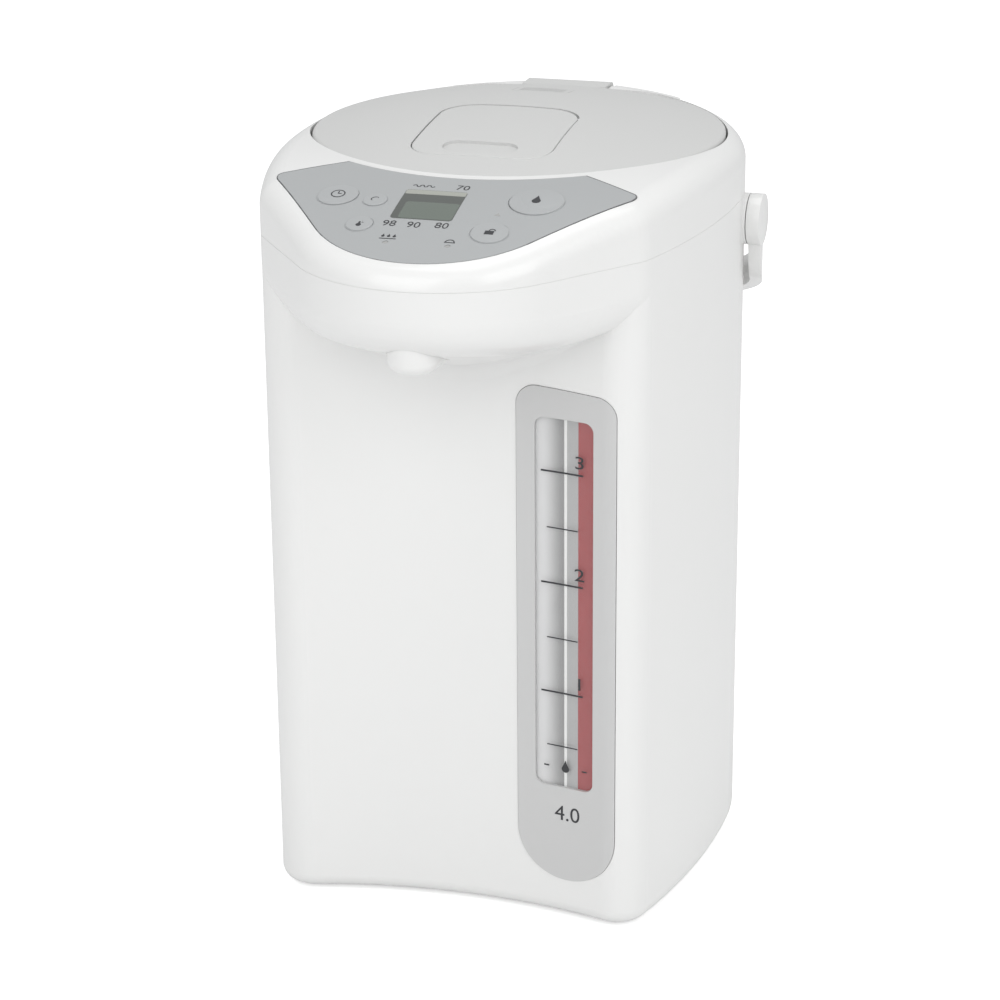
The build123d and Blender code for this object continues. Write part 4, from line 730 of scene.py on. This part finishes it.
addPiece("panel_edge_line", shape, "shadow", "base", smooth=False)

# cove under the brow
cove = {"halfAngle": 14.0, "radius": 0.0100, "thinning": 0.94, "along": 72, "round": 10,
        "slope": 21.0, "low": 0.24701, "axisY": -0.090, "sunk": 0.00004, "back": 0.0006,
        "sharp": 50}


def covePoint(turn, step):
    # a ball that rolls along the hollow wall and the funnel-shaped underside leaves the cove
    radius = cove["radius"] * (1 - cove["thinning"] * (turn / cove["halfAngle"]) ** 2)
    slope = radians(cove["slope"])
    toWall = Vector((sin(radians(turn)), cos(radians(turn)), 0))
    hollow = Vector((0, pot["axisY"] + pot["frontWallY"] - pot["hollowRadius"], 0))
    centre = hollow + toWall * (pot["hollowRadius"] - radius)
    outwards = centre - Vector((0, pot["axisY"] + cove["axisY"], 0))
    reach = outwards.length
    outwards.normalize()
    centre.z = cove["low"] + reach * tan(slope) - radius / cos(slope)
    toCone = Vector((-sin(slope) * outwards.x, -sin(slope) * outwards.y, cos(slope)))
    if step > cove["round"]:
        top = centre + toCone * radius
        wall = centre + toWall * radius
        corner = Vector((wall.x, wall.y, top.z))
        return corner + toWall * cove["back"] + Vector((0, 0, cove["back"]))
    opening = toWall.angle(toCone)
    share = step / cove["round"]
    way = (toWall * sin((1 - share) * opening) + toCone * sin(share * opening)) / sin(opening)
    depth = radius + (cove["sunk"] if step in (0, cove["round"]) else 0)
    return centre + way * depth


shape = bmesh.new()
rows = cove["round"] + 2
bmesh.ops.create_grid(shape, x_segments=cove["along"], y_segments=rows, size=0.5)
for v in shape.verts:
    turn = (v.co.x * 2) * cove["halfAngle"]
    step = round((v.co.y + 0.5) * rows) % rows
    v.co = covePoint(turn, step)
bmesh.ops.remove_doubles(shape, verts=shape.verts, dist=weld["fine"])
bmesh.ops.holes_fill(shape, edges=[e for e in shape.edges if e.is_boundary], sides=0)
sharpen(addPiece("brow_cove", shape, "gloss", "base"), cove["sharp"])

# handle with rounded edges; the rims of its pin sockets, near the pivot, stay crisp
grip = {"round": 0.0024, "steps": 4, "sharp": 40, "socket": 0.0085, "pivotY": 0.018,
        "pivotZ": 0.292, "flat": 1.0, "shading": 45}
shape = bmesh.new()
shape.from_mesh(nodes["handle"].data)
bmesh.ops.remove_doubles(shape, verts=shape.verts, dist=weld["coarse"])
bmesh.ops.dissolve_limit(shape, angle_limit=radians(grip["flat"]), verts=shape.verts,
                         edges=shape.edges)
sharp = []
for edge in shape.edges:
    middle = (edge.verts[0].co + edge.verts[1].co) / 2
    away = sqrt((middle.y - pot["axisY"] - grip["pivotY"]) ** 2
                + (middle.z - grip["pivotZ"]) ** 2)
    crisp = len(edge.link_faces) == 2 and edge.calc_face_angle() > radians(grip["sharp"])
    if crisp and away > grip["socket"]:
        sharp.append(edge)
bmesh.ops.bevel(shape, geom=sharp, offset=grip["round"], segments=grip["steps"],
                affect="EDGES", profile=0.5, material=-1, clamp_overlap=True)
handleRound = addPiece("handle_rounded", shape, "gloss", "bail")
sharpen(handleRound, grip["shading"])
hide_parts("handle")

def wallY(x):
    # depth of the hollow front wall, a cylinder upright in front of the pot
    middle = pot["axisY"] + pot["frontWallY"] - pot["hollowRadius"]
    return middle + sqrt(pot["hollowRadius"] ** 2 - x**2)


# strips on the back of the gauge window: left, right and finish. The card's darkening is painted
# shade and the line a painted highlight, standing in for the level tube seen through the window.
strips = {
    # card with painted shade
    "gauge_card_painted_shade": (0.0350, 0.0487, "card"),
    # painted highlight on the level tube
    "gauge_painted_highlight": (0.0487, 0.0500, "line"),
    "gauge_frost": (0.0500, 0.0552, "frost"),
    "gauge_red": (0.0552, 0.0632, "red"),
}
stripFacts = {"lowZ": 0.0640, "highZ": 0.2350, "sheet": 0.00005, "cuts": 8, "drawn": 0.002,
              "behind": 0.00150}
stripTall = (stripFacts["highZ"] - stripFacts["lowZ"]) / stripFacts["drawn"]
middleZ = (stripFacts["lowZ"] + stripFacts["highZ"]) / 2
for stripName, (left, right, finish) in strips.items():
    shape = bmesh.new()
    bar(shape, 0, 0, right - left, stripFacts["drawn"], cuts=stripFacts["cuts"])
    thicken(shape, stripFacts["sheet"])
    bmesh.ops.rotate(shape, verts=shape.verts, cent=(0, 0, 0), matrix=upright)
    bmesh.ops.translate(shape, verts=shape.verts, vec=((left + right) / 2, 0, middleZ))
    for v in shape.verts:
        v.co.y += wallY(v.co.x) + stripFacts["behind"]
    bmesh.ops.scale(shape, verts=shape.verts, vec=(1, 1, stripTall),
                    space=Matrix.Translation((0, 0, -middleZ)))
    addPiece(stripName, shape, finish, "base", smooth=False)
print("display, seams, cove, handle and gauge strips made")
